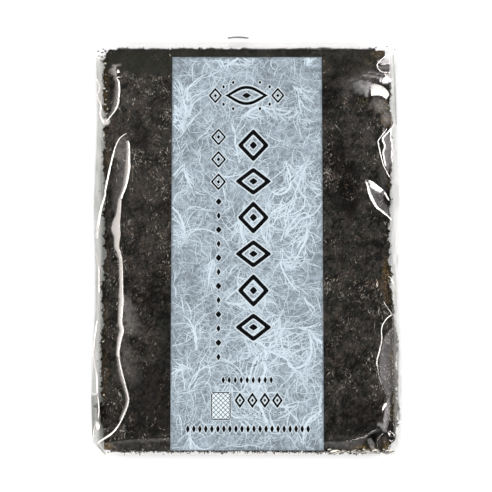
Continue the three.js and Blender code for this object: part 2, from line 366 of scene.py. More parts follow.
# The torn outline of the topmost sheets, as [place along the edge, distance from the middle].
LEFT_EDGE = [
    (-135, 94.5), (-126, 94.5), (-121, 94.2), (-114, 95.9), (-109, 97), (-100, 95.1), (-88, 95.2),
    (-79, 96.5), (-70, 94.7), (-65, 95.8), (-56, 96.5), (-52, 95.2), (-42, 94.6), (-35, 96), (-28, 96.8),
    (-20, 94.5), (-15, 95.6), (-7, 94), (2, 95), (15, 94.5), (21, 95.6), (29, 95.3), (39, 94.4), (59, 95.6),
    (73, 95.7), (90, 95.2), (103, 96.7), (114, 97.1), (123, 96.8), (131, 95.6), (135, 94.5),
]
RIGHT_EDGE = [
    (-135, 94), (-127, 97.8), (-118, 99.8), (-113, 99.3), (-106, 100), (-98, 99), (-86, 99.7), (-78, 98.8),
    (-72, 99.5), (-62, 99.6), (-55, 98.7), (-47, 97.5), (-40, 97.9), (-35, 97.6), (-27, 95.6), (-19, 96.2),
    (-10, 94.5), (8, 95.1), (22, 94.7), (33, 96.1), (48, 97), (59, 98.2), (66, 97.3), (76, 97.7),
    (87, 97.2), (96, 95.7), (103, 97.4), (110, 97.1), (127, 96.8), (132, 93.6), (135, 92),
]
CORNER_LOSS = {(1, 1): 3.0, (-1, 1): 0.3, (1, -1): 1.5, (-1, -1): 2.5}
TEAR = {"y": -105.8, "length": 4.2, "half": 2.9}


def sheet_seed(number):
    return 1000 + 97 * number


def ragged(position, seed, roughness):
    """How far a torn edge stands out at places along it."""
    return roughness * (0.6 * lumps(position, 0, 6, seed) + 0.9 * lumps(position, 0, 2.6, seed + 1)
                        + 0.7 * lumps(position, 0, 1.2, seed + 2))


def torn_outline(u, v, seed, roughness, drawn_back=0.0):
    """Moves points of a plain rectangle (u and v from -1 to 1) to those of one torn sheet."""
    x, y = u * HALF_WIDTH, v * HALF_LENGTH
    stands_out = lambda edge, number: (np.interp(y, *np.array(edge).T) - HALF_WIDTH
                                       + ragged(y, seed + number, roughness) - drawn_back)
    right, left = stands_out(RIGHT_EDGE, 10), stands_out(LEFT_EDGE, 20)
    back = 0.3 + 0.6 * ragged(x, seed + 30, roughness) - drawn_back
    front = 0.2 + 0.8 * ragged(x, seed + 40, roughness) - drawn_back
    if not drawn_back:
        left = left + TEAR["length"] * np.clip(1.25 - 1.25 * np.abs(y - TEAR["y"]) / TEAR["half"], 0, 1)
    reach = lambda t: np.clip((np.abs(t) - 0.85) / 0.15, 0, 1) ** 2
    x_out = x + np.where(u > 0, right, -left) * reach(u)
    y_out = y + np.where(v > 0, back, -front) * reach(v)
    for (side, end), loss in CORNER_LOSS.items():
        near = smooth((side * u - 0.88) / 0.12) * smooth((end * v - 0.92) / 0.08)
        x_out, y_out = x_out - side * near * loss, y_out - end * near * loss
    return x_out, y_out


def edge_sheets(numbers, spacing, insets, roughness, drawn_back):
    """Whole thin sheets, finely made along the edges, where they show."""
    points, faces = [], []
    across, endways = round(SHEET_WIDTH / spacing), round(SHEET_LENGTH / spacing)
    s, t = np.linspace(-1, 1, across + 1)[:-1], np.linspace(-1, 1, endways + 1)[:-1]
    u = np.concatenate([s, np.ones_like(t), -s, -np.ones_like(t)])
    v = np.concatenate([-np.ones_like(s), t, np.ones_like(s), -t])
    count = len(u)
    ahead = np.roll(np.arange(count), -1)
    for number in numbers:
        seed = sheet_seed(number)
        shift = np.random.default_rng(seed).uniform(-0.5, 0.5, 2)
        loops = []
        for face in (1, -1):
            for depth, inset in enumerate(insets):
                x, y = torn_outline(u * (1 - inset / HALF_WIDTH), v * (1 - inset / HALF_LENGTH),
                                    seed, roughness, drawn_back)
                x, y = (x + shift[0], y + shift[1]) if drawn_back else (x, y)
                low, high = stack_bottom(x, y), stack_top(x, y)
                flutter = 0.07 * lumps(x, y, 6, seed + 5) * (1 if depth == 0 else 0.3)
                z = low + (high - low) * (number + 0.5) / SHEET_COUNT + flutter + face * SHEET_THICKNESS / 2
                loops.append(len(points) + np.arange(count))
                points.extend(np.stack([x, y, z], -1))
        top, bottom = loops[:len(insets)], loops[len(insets):]
        for outer, inner in [*zip(top, top[1:]), *zip(bottom[1:], bottom), (bottom[0], top[0])]:
            faces.extend(np.stack([outer, outer[ahead], inner[ahead], inner], -1).tolist())
        faces += [top[-1].tolist(), bottom[-1][::-1].tolist()]
    points = np.array(points)
    values = laver_values(*points[:, :2].T, thin_share=0.8, shade_share=0)
    return {"points": points, "faces": faces, **values}


# The sheets are made finer the higher they lie: [name, numbers, spacing, insets, roughness, drawn back].
TORN_SHEET = SHEET_COUNT - 1
FINER_FROM = SHEET_COUNT - 10
for name, *how in [
    ("torn_sheet", [TORN_SHEET], 0.5, (0, 0.4, 1, 2, 4, 9), 1.0, 0),
    ("upper_sheets", range(FINER_FROM, TORN_SHEET), 1.1, (0, 1.6, 9), 0.45, 1.3),
    ("lower_sheets", range(FINER_FROM), 2.8, (0, 1.6, 9), 0.45, 1.9),
]:
    make_piece(name, **edge_sheets(*how), material=laver, slot="filled_film")

# ---- Top sheet --------------------------------------------------------------------------------
# The sheet that shows through the film. It is pressed laver like the others, with its felt of
# blades as relief, and the torn sheet just below it carries its edges.
FELT_HEIGHT = 0.2


def top_sheet():
    half_x, half_y = HALF_WIDTH - 1.5, HALF_LENGTH - 1.0
    u, v = np.meshgrid(np.linspace(-1, 1, 158), np.linspace(-1, 1, 222))
    near_edge = lambda t: np.clip((np.abs(t) - 0.97) / 0.03, 0, 1)
    waver = lambda t, seed: 0.5 * lumps(u * half_x, v * half_y, 3, seed) * near_edge(t)
    x, y = u * half_x + waver(u, 91), v * half_y + waver(v, 92)
    felt = (0.5 * lumps(x, y, 5.5, 71) + 0.45 * lumps(x + 0.6 * y, y - 0.5 * x, 2.9, 72)) * FELT_HEIGHT
    z = stack_top(x, y) + felt
    points, faces = two_skins(x, y, z, z - SHEET_THICKNESS)
    return {"points": points, "faces": faces, **laver_values(*points[:, :2].T)}


make_piece("top_sheet", **top_sheet(), material=laver, slot="filled_film")

# ---- Loose blades -----------------------------------------------------------------------------
# Blades that stand a little proud of the felt and catch the light. They are densest in drifts,
# fewer along the front and back edges, and they fray the torn sheet's outline.
# The near-white top stop is reached by the crumbs on the sheets, which stand partly for glints.
BLADE_COLOURS = [
    (0.0, (0.004, 0.0035, 0.003)), (0.38, (0.013, 0.011, 0.0095)), (0.58, (0.042, 0.036, 0.031)),
    (0.76, (0.090, 0.078, 0.068)), (0.88, (0.155, 0.138, 0.122)), (0.95, (0.30, 0.28, 0.25)),
    (1.0, (0.82, 0.79, 0.69)),
]
BLADE_RUST = (1.0, 0.72, 0.54)
BLADE_COUNT = 13000
FRAY_COUNT = 1500
LABEL_HALF_WIDTH = 50.4
LABEL_X = 0.3


def spindles(x, y, z, heading, length, width, height, roll, pitch, tint):
    """Closed slivers with two raised flanks and pointed ends, all in one mesh."""
    stations = [(-0.5, 0, 0), (-0.16, 0.5, 1), (-0.16, 0, 2), (-0.16, -0.5, 1),
                (0.2, 0.42, 1), (0.2, 0, 2), (0.2, -0.42, 1), (0.5, 0, 0)]
    faces = [(0, 2, 1), (0, 3, 2), (0, 1, 3), (1, 2, 5, 4), (2, 3, 6, 5), (3, 1, 4, 6),
             (7, 4, 5), (7, 5, 6), (7, 6, 4)]
    points = []
    for forward, side, rank in stations:
        along, off = forward * length, side * width + (0.5 - abs(forward)) * roll * width * 2
        rise = height * (rank == 2) + off * np.tan(roll) + along * np.tan(pitch)
        points.append(np.stack([x + along * np.cos(heading) - off * np.sin(heading),
                                y + along * np.sin(heading) + off * np.cos(heading), z + rise], -1))
    points = np.stack(points, 1)
    start = (np.arange(len(x)) * len(stations))[:, None]
    joined = []
    for face in faces:
        joined.extend((start + np.array(face)).tolist())
    return points.reshape(-1, 3), joined, np.repeat(tint, len(stations))


def blade_finish():
    blade = Finish(bpy.data.materials.new("laver_blades"))
    where = blade.place()
    base = blade.ramp(blade.value("tint"), BLADE_COLOURS)
    rusty = blade.noise(where, 0.11, 3, 0.7).rise(0.54, 0.68)
    base = blade.blend(rusty * 0.8, base, BLADE_RUST, "MULTIPLY")
    return blade.skin(base, 0.4, 0.05, blade.bump(blade.noise(where, 3.0, 2, 0.6), 0.08, 0.6))


def loose_blades():
    rng = np.random.default_rng(51)
    x = rng.uniform(-HALF_WIDTH, HALF_WIDTH, 4 * BLADE_COUNT)
    y = rng.uniform(-HALF_LENGTH, HALF_LENGTH, 4 * BLADE_COUNT)
    # Fewer blades lie where the laver has painted shade.
    drift = 0.48 + 0.35 * lumps(x, y, 14, 81) + 0.50 * lumps(x, y, 5.5, 82) - 0.5 * painted_shade(x, y)
    quiet = np.clip((HALF_LENGTH - 16 - y) / 4, 0.14, 1) * np.clip((y + HALF_LENGTH - 7) / 3, 0.3, 1)
    bare = np.abs(x - LABEL_X) > LABEL_HALF_WIDTH - 1.2
    chosen = np.flatnonzero((rng.random(len(x)) < drift * quiet) & bare)[:BLADE_COUNT]
    x, y, drift = x[chosen], y[chosen], drift[chosen]
    count = len(x)
    steep = rng.normal(0, 0.6, count) + np.where(rng.random(count) < 0.5, 1.05, 2.0)
    length = np.clip(rng.lognormal(0.55, 0.45, count), 0.7, 5.5)
    width = np.clip(rng.lognormal(-1.02, 0.30, count), 0.18, 0.7)
    tint = np.clip(rng.beta(1.3, 1.7, count) + 0.45 * (drift - 0.5), 0, 0.95)
    body = dict(x=x, y=y, z=stack_top(x, y) + 0.06, heading=steep, length=length, width=width,
                height=width * rng.uniform(0.05, 0.3, count), roll=rng.normal(0, 0.16, count),
                pitch=rng.normal(0, 0.05, count), tint=tint)
    # Along the torn edge
    side = rng.integers(0, 4, FRAY_COUNT)
    way = rng.uniform(-0.985, 0.985, FRAY_COUNT)
    u = np.select([side == 0, side == 1], [-1.0, 1.0], way)
    v = np.select([side == 2, side == 3], [-1.0, 1.0], way)
    x, y = torn_outline(u, v, sheet_seed(TORN_SHEET), 1.0)
    out = rng.normal(-0.2, 0.5, FRAY_COUNT)
    x, y = x + out * np.sign(u) * (np.abs(u) == 1), y + out * np.sign(v) * (np.abs(v) == 1)
    fray = dict(x=x, y=y, z=stack_top(x, y) - 0.1, heading=rng.uniform(0, math.pi, FRAY_COUNT),
                length=rng.uniform(0.7, 2.4, FRAY_COUNT), width=rng.uniform(0.3, 0.9, FRAY_COUNT),
                height=np.full(FRAY_COUNT, 0.08), roll=rng.normal(0, 0.2, FRAY_COUNT),
                pitch=rng.normal(0, 0.1, FRAY_COUNT), tint=rng.beta(0.9, 2.2, FRAY_COUNT))
    return spindles(**{key: np.concatenate([body[key], fray[key]]) for key in body})


blade_material = blade_finish()
points, faces, tint = loose_blades()
make_piece("loose_blades", points, faces, blade_material, "filled_film", smooth_faces=False, tint=tint)

# Crumbs that have worked their way between the film walls: [x, y, length].
CRUMBS = [
    (-95.8, 122.1, 1.1), (-95.1, 117.3, 0.8), (-95.1, 111.8, 0.9), (-94.8, 100.1, 1), (-93.6, 93.6, 1.1),
    (-94.8, -41.8, 1.2), (-94.9, -62.7, 1.6), (-94.1, -97.9, 1.6), (-94.6, 67.1, 0.9), (102.1, 134, 0.8),
    (-101, 135.3, 1.8), (-98.3, 134.6, 2.2), (-94.9, 133.9, 2.6), (-93.5, 136, 2.2), (-98.6, 131.5, 2.2),
    (-100.6, 132.2, 1.4), (-97.6, 137, 1.6), (-96.2, 135.6, 1.8), (-99.2, 129.2, 1.5), (-98.9, -104.8, 4.8),
    (-100.7, 103.8, 1.1), (-99.4, 39, 1.2), (-100.2, -50.9, 1.6), (-99.3, -75.2, 1.2), (101, 136.8, 1.4),
    (88.2, 138.2, 1.5), (95.7, 138.6, 1.5), (94.5, 131, 1.2), (96.2, 118, 2.4), (96.6, 111.5, 1.9),
    (96.8, 104, 2.4), (96.4, 97, 1.8), (96.9, 91, 2.2), (96.5, 66, 1.6), (96.7, 58, 1.9), (-95.4, 125, 1.8),
    (-95.9, 108, 1.9), (-94.4, 106, 1.2), (-95.2, 96.8, 1.8), (-94.1, 90.5, 1.4), (-95.6, 76, 1.4),
]
CRUMB_HEIGHT = 0.2
FLAKE_COUNT = 210


def crumbs():
    x, y, length = np.array(CRUMBS).T
    rng = np.random.default_rng(7)
    count = len(x)
    on_sheets = (np.abs(x) < HALF_WIDTH + 1) & (y < HALF_LENGTH - 2)
    level = np.where(on_sheets, stack_top(x, y) + CRUMB_HEIGHT, SEAM_HEIGHT - 0.2)
    # Crumbs on the sheets are drawn near white: pale bits of the torn edge that also stand for glints, a
    # painted highlight.
    tint = np.where(on_sheets, 1.0, rng.uniform(0, 0.3, count))
    width, heading = length * rng.uniform(0.5, 0.8, count), rng.uniform(-0.6, 0.9, count)
    # Flakes along the front edge, larger and thicker to the right of the label
    count = FLAKE_COUNT
    right = rng.random(count) < 0.72
    across = np.where(right, rng.uniform(53, 96, count), rng.uniform(-93, 60, count))
    out = -HALF_LENGTH + rng.normal(0.1, 0.8, count).clip(-1.7, 1.5)
    long = np.where(right, rng.uniform(1.2, 5.0, count), rng.uniform(0.8, 2.2, count))
    pale = rng.choice([0.2, 0.3, 0.85, 0.93, 0.97, 1.0], count)
    dark = rng.choice([0.1, 0.3, 0.7, 0.9], count)
    parts = [(x, across), (y, out), (level, stack_top(across, out) + 0.1), (length, long),
             (tint, np.where(right, pale, dark)), (width, rng.uniform(0.5, 1.3, count)),
             (heading, rng.normal(0, 0.3, count))]
    x, y, level, length, tint, width, heading = (np.concatenate(pair) for pair in parts)
    count = len(x)
    return spindles(x, y, level, heading, length, width, height=np.full(count, CRUMB_HEIGHT),
                    roll=rng.normal(0, 0.1, count), pitch=np.zeros(count), tint=tint)


points, faces, tint = crumbs()
make_piece("caught_crumbs", points, faces, blade_material, "filled_film", smooth_faces=False, tint=tint)

# ---- Label ------------------------------------------------------------------------------------
# A strip of smooth paper, grey-blue and mottled. It lies loose between the top sheet and the
# film, and follows the stack down at the front.
LABEL_BACK = HALF_LENGTH - 5.9
LABEL_FRONT = -HALF_LENGTH + 0.8
LABEL_MIDDLE = (LABEL_BACK + LABEL_FRONT) / 2
LABEL_REACH = (LABEL_BACK - LABEL_FRONT) / 2
LABEL_LOW = 0.7
LABEL_THICKNESS = 0.15
LABEL_DARK = (0.124, 0.149, 0.168)
LABEL_GROUND = (0.236, 0.284, 0.327)
LABEL_PALE = (0.37, 0.435, 0.49)
THREADS = [(20, 0.30, 0.020, 0.6), (80, 0.36, 0.024, 0.6), (140, 0.44, 0.028, 0.5)]


def label_height(x, y):
    return stack_top(x, y) + LABEL_LOW + LABEL_THICKNESS


def label_finish():
    paper = Finish(bpy.data.materials.new("mottled_paper"))
    where = paper.place()
    clouds = paper.noise(where, 0.06, 3, 0.6)
    mottle = paper.noise(where, 0.35, 4, 0.7)
    base = paper.blend((clouds * 0.4 + mottle * 0.6).rise(0.42, 0.60), LABEL_DARK, LABEL_GROUND)
    # Faint threads lie along the level lines of a smooth noise, and fade in and out.
    for turn, scale, width, share in THREADS:
        lie = paper.turned(where, turn, (1, 0.6, 1))
        level = abs(paper.noise(lie, scale, 1.5, 0.45, 0.7) - 0.5)
        shown = paper.noise(lie, scale * 0.7, 1, 0.5).rise(0.42, 0.58)
        base = paper.blend((1 - level.rise(width * 0.25, width)) * shown * share, base, LABEL_PALE)
    return paper.skin(base, 0.6, 0.25, paper.bump(mottle, 0.06, 0.4))


def label_strip():
    """The strip is finer at its front end, where it turns down."""
    across = np.linspace(LABEL_X - LABEL_HALF_WIDTH, LABEL_X + LABEL_HALF_WIDTH, 52)
    turned_down, level = (LABEL_FRONT, LABEL_FRONT + 12, 25), (LABEL_FRONT + 14, LABEL_BACK, 126)
    x, y = np.meshgrid(across, np.concatenate([np.linspace(*turned_down), np.linspace(*level)]))
    z = label_height(x, y)
    return two_skins(x, y, z, z - LABEL_THICKNESS)


label = make_piece("label_strip", *label_strip(), label_finish(), "label_paper")
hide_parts("label")

# ---- Fibre print ------------------------------------------------------------------------------
# Pale blue fibres are printed all over the label, as in mulberry paper: a few long branching
# bundles over a tangle of shorter and finer ones.
FIBRE_STEP = 1.2
FIBRE_COUNTS = {"fine": 2300, "medium": 560, "bundle": 46}
FIBRE_RISE = {"fine": 0.02, "medium": 0.035, "bundle": 0.05}
FIBRE_COLOURS = [(0.0, (0.25, 0.30, 0.345)), (0.5, (0.355, 0.42, 0.475)), (1.0, (0.50, 0.58, 0.64))]


class Fibres:
    """Collects flat ribbons that lie on the label."""

    def __init__(self, seed):
        self.rng = np.random.default_rng(seed)
        self.points, self.faces, self.tints = [], [], []

    def ribbon(self, start, heading, length, width, wander, tint, layer):
        """Lays one wandering fibre and returns the places and headings along it."""
        rng = self.rng
        count = max(4, int(length / FIBRE_STEP))
        kinks = rng.normal(0, 0.45, count) * (rng.random(count) < 0.07)
        bend = np.cumsum(rng.normal(0, wander, count)) * 0.3
        way = heading + np.cumsum(bend + rng.normal(0, wander, count) + kinks)
        places = np.array(start) + np.cumsum(np.stack([np.cos(way), np.sin(way)], -1) * FIBRE_STEP, 0)
        taper = np.clip(np.sin(np.pi * np.linspace(0, 1, count) ** 0.8), 0, 1) ** 0.6
        half = width / 2 * taper * (1 + 0.25 * rng.normal(0, 1, count)).clip(0.4, 1.6)
        across = np.stack([-np.sin(way), np.cos(way)], -1) * half[:, None]
        room = (LABEL_HALF_WIDTH - 0.6, LABEL_REACH - 0.5)
        off = (np.abs(places - (LABEL_X, LABEL_MIDDLE)) > room).any(-1)
        count = int(np.argmax(off)) if off.any() else count
        if count > 2:
            first = len(self.points)
            for side in ((places + across)[:count], (places - across)[:count]):
                self.points.extend(np.column_stack([side, label_height(*side.T) + FIBRE_RISE[layer]]))
            self.tints.extend([tint] * 2 * count)
            steps = range(first, first + count - 1)
            self.faces.extend((k + count, k + count + 1, k + 1, k) for k in steps)
        return places, way

    def tree(self, start, heading, length, width, wander, tint, layer, branches):
        """A fibre with thinner ones that leave it at a slant, and thinner ones from those."""
        places, way = self.ribbon(start, heading, length, width, wander, tint, layer)
        uniform = self.rng.uniform
        for _ in range(branches):
            k = self.rng.integers(0, len(places))
            slant = self.rng.choice([-1, 1]) * uniform(0.3, 0.9)
            self.tree(places[k], way[k] + slant, length * uniform(0.25, 0.6), width * uniform(0.4, 0.7),
                      wander * 1.4, tint * uniform(0.75, 1), "medium" if layer == "bundle" else "fine",
                      branches // 3)

    def anywhere(self):
        x = self.rng.uniform(LABEL_X - LABEL_HALF_WIDTH, LABEL_X + LABEL_HALF_WIDTH)
        return x, self.rng.uniform(LABEL_FRONT, LABEL_BACK)


def fibre_print():
    fibres = Fibres(77)
    rng, uniform = fibres.rng, fibres.rng.uniform
    for _ in range(FIBRE_COUNTS["fine"]):
        fibres.ribbon(fibres.anywhere(), uniform(0, 2 * math.pi), uniform(4, 15), uniform(0.16, 0.36), 0.16,
                      uniform(0.3, 0.9), "fine")
    for _ in range(FIBRE_COUNTS["medium"]):
        fibres.tree(fibres.anywhere(), uniform(0, 2 * math.pi), uniform(9, 28), uniform(0.3, 0.65), 0.10,
                    uniform(0.5, 0.95), "medium", 3)
    for _ in range(FIBRE_COUNTS["bundle"]):
        start, heading = fibres.anywhere(), rng.normal(math.pi / 2, 0.8) + rng.choice([0, math.pi])
        length, spread = uniform(18, 55), uniform(0.5, 1.3)
        for _ in range(4):
            near = np.array(start) + rng.normal(0, spread, 2)
            fibres.ribbon(near, heading + rng.normal(0, 0.16), length * uniform(0.4, 1), uniform(0.4, 0.9),
                          0.06, uniform(0.8, 1), "bundle")
        fibres.tree(start, heading, length, uniform(0.9, 1.6), 0.055, uniform(0.9, 1), "bundle", 9)
    return fibres.points, fibres.faces, fibres.tints


def fibre_finish():
    ink = Finish(bpy.data.materials.new("pale_fibre_ink"))
    where = ink.place()
    uneven = ink.noise(where, 0.5, 3, 0.6) * 0.5 - 0.25
    return ink.skin(ink.ramp(ink.value("tint") + uneven, FIBRE_COLOURS), 0.6, 0.25)


points, faces, tints = fibre_print()
make_piece("fibre_print", points, faces, fibre_finish(), "label_paper", tint=tints)

# ---- Printed shapes ---------------------------------------------------------------------------
# Plain black shapes edged in white are printed down the label: a column of lozenges with smaller
# ones beside it, a pointed oval above, and small rows and a lattice in a frame below.
INK_RISE = 0.085
EDGE_RISE = 0.065
INK_THICKNESS = 0.02
LATTICE = {"step": 3.1, "frame": 0.3, "bar": 0.17}
INK_BLACK = (0.0016, 0.0018, 0.0024)
EDGE_WHITE = (0.60, 0.67, 0.71)


class Plates:
    """Thin closed plates of ink that follow the paper."""

    def __init__(self, rise):
        self.rise, self.points, self.faces = rise, [], []

    def add(self, x, y):
        z = label_height(x, y) + self.rise
        points, faces = two_skins(x, y, z, z - INK_THICKNESS)
        self.faces.extend(tuple(corner + len(self.points) for corner in face) for face in faces)
        self.points.extend(points)

    def lozenge(self, x, y, half_x, half_y):
        """A solid lozenge with slightly rounded corners."""
        u, v = np.meshgrid(*[np.linspace(-1, 1, max(4, int(half_x + half_y) // 2))] * 2)
        pull = 1 - 0.10 * (u * v) ** 4
        self.add(x + (u + v) / 2 * half_x * pull, y + (v - u) / 2 * half_y * pull)

    def band(self, outer, inner):
        """The band between two closed outlines."""
        rings = np.array([outer + outer[:1], inner + inner[:1]])[:, ::-1]
        self.add(rings[..., 0], rings[..., 1])

    def bar(self, x0, y0, x1, y1, half):
        t = np.linspace(0, 1, max(2, int(math.hypot(x1 - x0, y1 - y0) / 2)))
        side = np.array([y0 - y1, x1 - x0]) * half / math.hypot(x1 - x0, y1 - y0)
        self.add(*[np.array([start + (end - start) * t - s, start + (end - start) * t + s])
                   for start, end, s in ((x0, x1, side[0]), (y0, y1, side[1]))])


def lozenge_line(x, y, half_x, half_y, corner=0.10):
    """A closed outline whose corners are rounded."""
    tips = np.array([(half_x, 0), (0, half_y), (-half_x, 0), (0, -half_y)], float)
    outline = []
    for last, tip, following in zip(np.roll(tips, 1, 0), tips, np.roll(tips, -1, 0)):
        start, end = tip + (last - tip) * corner, tip + (following - tip) * corner
        after = following + (tip - following) * corner
        outline += [(1 - t) ** 2 * start + 2 * t * (1 - t) * tip + t ** 2 * end for t in (0, 0.33, 0.67, 1)]
        outline += [end + (after - end) * t for t in (0.2, 0.4, 0.6, 0.8)]
    return [(x + a, y + b) for a, b in outline]


def pointed_line(x, y, half_x, half_y):
    t = np.linspace(0, 1, 21)[:-1]
    upper = [(x - half_x + 2 * half_x * s, y + half_y * math.sin(math.pi * s) ** 1.15) for s in t]
    return upper + [(2 * x - a, 2 * y - b) for a, b in upper]


def grown(half_x, half_y, by):
    """Half sizes of a lozenge whose sides stand this much further out."""
    return half_x + by * math.hypot(1, half_x / half_y), half_y + by * math.hypot(1, half_y / half_x)


def label_shapes():
    """The black shapes, and the white edges that lie under them."""
    black, white = Plates(INK_RISE), Plates(EDGE_RISE)

    def solid(x, y, half_x, half_y, edge):
        black.lozenge(x, y, half_x, half_y)
        white.lozenge(x, y, *grown(half_x, half_y, edge))

    def hollow(x, y, half_x, half_y, stroke, edge):
        """A lozenge in outline round a small solid one."""
        line = lambda by: lozenge_line(x, y, *grown(half_x, half_y, by))
        black.band(line(0), line(-stroke))
        white.band(line(edge), line(-stroke - edge))
        solid(x, y, half_x * 0.26, half_y * 0.26, edge * 0.7)

    for k in range(6):
        hollow(4.5, 68.6 - 24.4 * k, 12.2 if k % 2 else 10.6, 9.4 if k % 2 else 11.2, 2.6, 0.9)
    for k in range(3):
        hollow(-18.8, 74.2 - 15.2 * k, 5.2, 5.9, 1.2, 0.55)
    for k in range(12):
        solid(-18.6, 30.4 - 9.4 * k, 1.5 if k % 2 else 2.2, 2.5, 0.5)
    black.band(pointed_line(0, 102.5, 14.5, 6.6), pointed_line(0, 102.5, 11.2, 4.5))
    white.band(pointed_line(0, 102.5, 16.2, 7.6), pointed_line(0, 102.5, 9.4, 3.5))
    solid(0, 102.5, 3.4, 2.2, 0.4)
    for side in (-1, 1):
        hollow(side * 21, 102.5, 4.6, 5.4, 1.2, 0.6)
        for x, y in [(9, 111.5), (9, 93.5), (15.5, 108.5), (15.5, 96.5)]:
            solid(side * x, y, 1.1, 1.5, 0.5)
    # Rows across the label: [shape, count, first x, step, y, half sizes and edge].
    for shape, count, first, step, y, sizes in [
        (solid, 9, -15.4, 3.95, -88.2, (1.25, 2.5, 0.4)),
        (hollow, 4, -4.4, 8.2, -101.5, (3.6, 5.2, 1.3, 0.6)),
        (solid, 10, -4.6, 2.9, -110.2, (0.6, 0.7, 0.3)),
        (solid, 21, -38.6, 3.95, -120.2, (1.35, 2.9, 0.5)),
    ]:
        for k in range(count):
            shape(first + step * k, y, *sizes)
    # A lattice in a frame
    left, right, back, front = -23.2, -10.8, -96.4, -114
    width, height = right - left, back - front
    u, v = np.meshgrid(np.linspace(-1, 1, 8), np.linspace(-1, 1, 10))
    pull = 1 - 0.06 * (u * v) ** 6
    x, y = u * (width / 2 + 0.7) * pull, v * (height / 2 + 0.7) * pull
    white.add((left + right) / 2 + x, (back + front) / 2 + y)
    for line in [(left + 0.6, front, right - 0.6, front), (left + 0.6, back, right - 0.6, back),
                 (left, front + 0.6, left, back - 0.6), (right, front + 0.6, right, back - 0.6)]:
        black.bar(*line, LATTICE["frame"])
    for offset in np.arange(-width + LATTICE["step"], height - 1, LATTICE["step"]):
        low, high = max(0.0, -offset), min(width, height - offset)
        if high - low > 1:
            for side, inwards in ((left, 1), (right, -1)):
                black.bar(side + inwards * low, front + low + offset,
                          side + inwards * high, front + high + offset, LATTICE["bar"])
    return black, white


def ink_finish(name, colour):
    ink = Finish(bpy.data.materials.new(name))
    uneven = ink.noise(ink.place(), 0.9, 3, 0.6)
    base = ink.blend(uneven.rise(0.3, 0.7) * 0.5, colour, tuple(c * 0.8 + 0.004 for c in colour))
    return ink.skin(base, 0.7, 0.03)


black, white = label_shapes()
make_piece("printed_edges", white.points, white.faces, ink_finish("white_ink", EDGE_WHITE), "label_paper")
make_piece("printed_shapes", black.points, black.faces, ink_finish("black_ink", INK_BLACK), "label_paper")

# ---- Film bag ---------------------------------------------------------------------------------
# One sheet of clear film, folded at the front and heat sealed down both sides and across the back.
# It lies loosely on the sheets, and its walls fall steeply to the side seams.
FILM_CLEAR = 0.995
# The grey film colour is painted shade.
FILM_SHADE_GREY = (0.45, 0.463, 0.443)
FILM_GLOSS = 0.042
# Milky film is painted sheen where the film catches the light, with some whitening along its creases.
MILKY_SHEEN_WARM = (0.82, 0.76, 0.72)
MILKY_SHEEN_COOL = (0.76, 0.72, 0.73)
FILM_EDGE_SHARE = 0.94
LABEL_ROOM = 1.05
WALL_GAP = 0.12
CORNER_TUCKS = {"left": 8.5, "right": 3.0, "length": 9}
FILM_SHINE = (1, 0.95, 0.91)

# Where the slack film stands off in soft swellings: [x, y, half sizes, lean in degrees, height].
SWELLINGS = [
    (-76.5, -47, 6.5, 22, 0, 0.5), (94.5, 63, 4, 19, 0, 0.3), (90, -80, 6, 28, 0, 0.45),
    (-85, 56, 6, 22, 12, 0.3),
]


def swellings(x, y):
    total = np.zeros_like(x)
    for at_x, at_y, half_x, half_y, lean, height in SWELLINGS:
        turn = math.radians(lean)
        dx, dy = x - at_x, y - at_y
        u = (dx * math.cos(turn) - dy * math.sin(turn)) / half_x
        v = (dx * math.sin(turn) + dy * math.cos(turn)) / half_y
        total += height * np.clip(1 - u * u - v * v, 0, 1) ** 1.5
    return total


def film_top(x, y):
    full = fullness(x, y, FILM_EDGE_SHARE)
    margin = np.clip((np.abs(x) - HALF_WIDTH - 1) / 3, 0, 1) * np.clip(full * 4, 0, 1)
    ripples = margin * (0.35 * lumps(x, y * 0.16, 2.2, 51) + 0.2 * lumps(x, y * 0.4, 1.4, 52))
    plateau = np.clip((full - 0.3) / 0.35, 0, 1)
    level = SEAM_HEIGHT + full * (STACK_HEIGHT - SEAM_HEIGHT + swell(x, y))
    return level + full * (swellings(x, y) + ripples) + LABEL_ROOM * plateau + WALL_GAP / 2


def film_bottom(x, y):
    ripples = 0.1 * lumps(x, y, 9, 61) * np.clip(stack_bottom(x, y) / 2, 0, 1)
    return np.maximum(stack_bottom(x, y) - BASE_GAP - WALL_GAP / 2 + ripples, 0.0)


def smooth_path(points, step=0.5):
    """A Catmull-Rom curve through the points."""
    p = np.array([points[0], *points, points[-1]], float)
    curve = []
    for p0, p1, p2, p3 in zip(p, p[1:], p[2:], p[3:]):
        t = np.linspace(0, 1, max(2, int(np.hypot(*(p2 - p1)) / step)), endpoint=False)[:, None]
        curve.append(0.5 * (2 * p1 + (p2 - p0) * t + (2 * p0 - 5 * p1 + 4 * p2 - p3) * t ** 2
                            + (3 * p1 - p0 - 3 * p2 + p3) * t ** 3))
    return np.concatenate([*curve, [p[-1]]])


def directions(line):
    along = np.gradient(line, axis=0)
    return along / np.hypot(*along.T)[:, None]


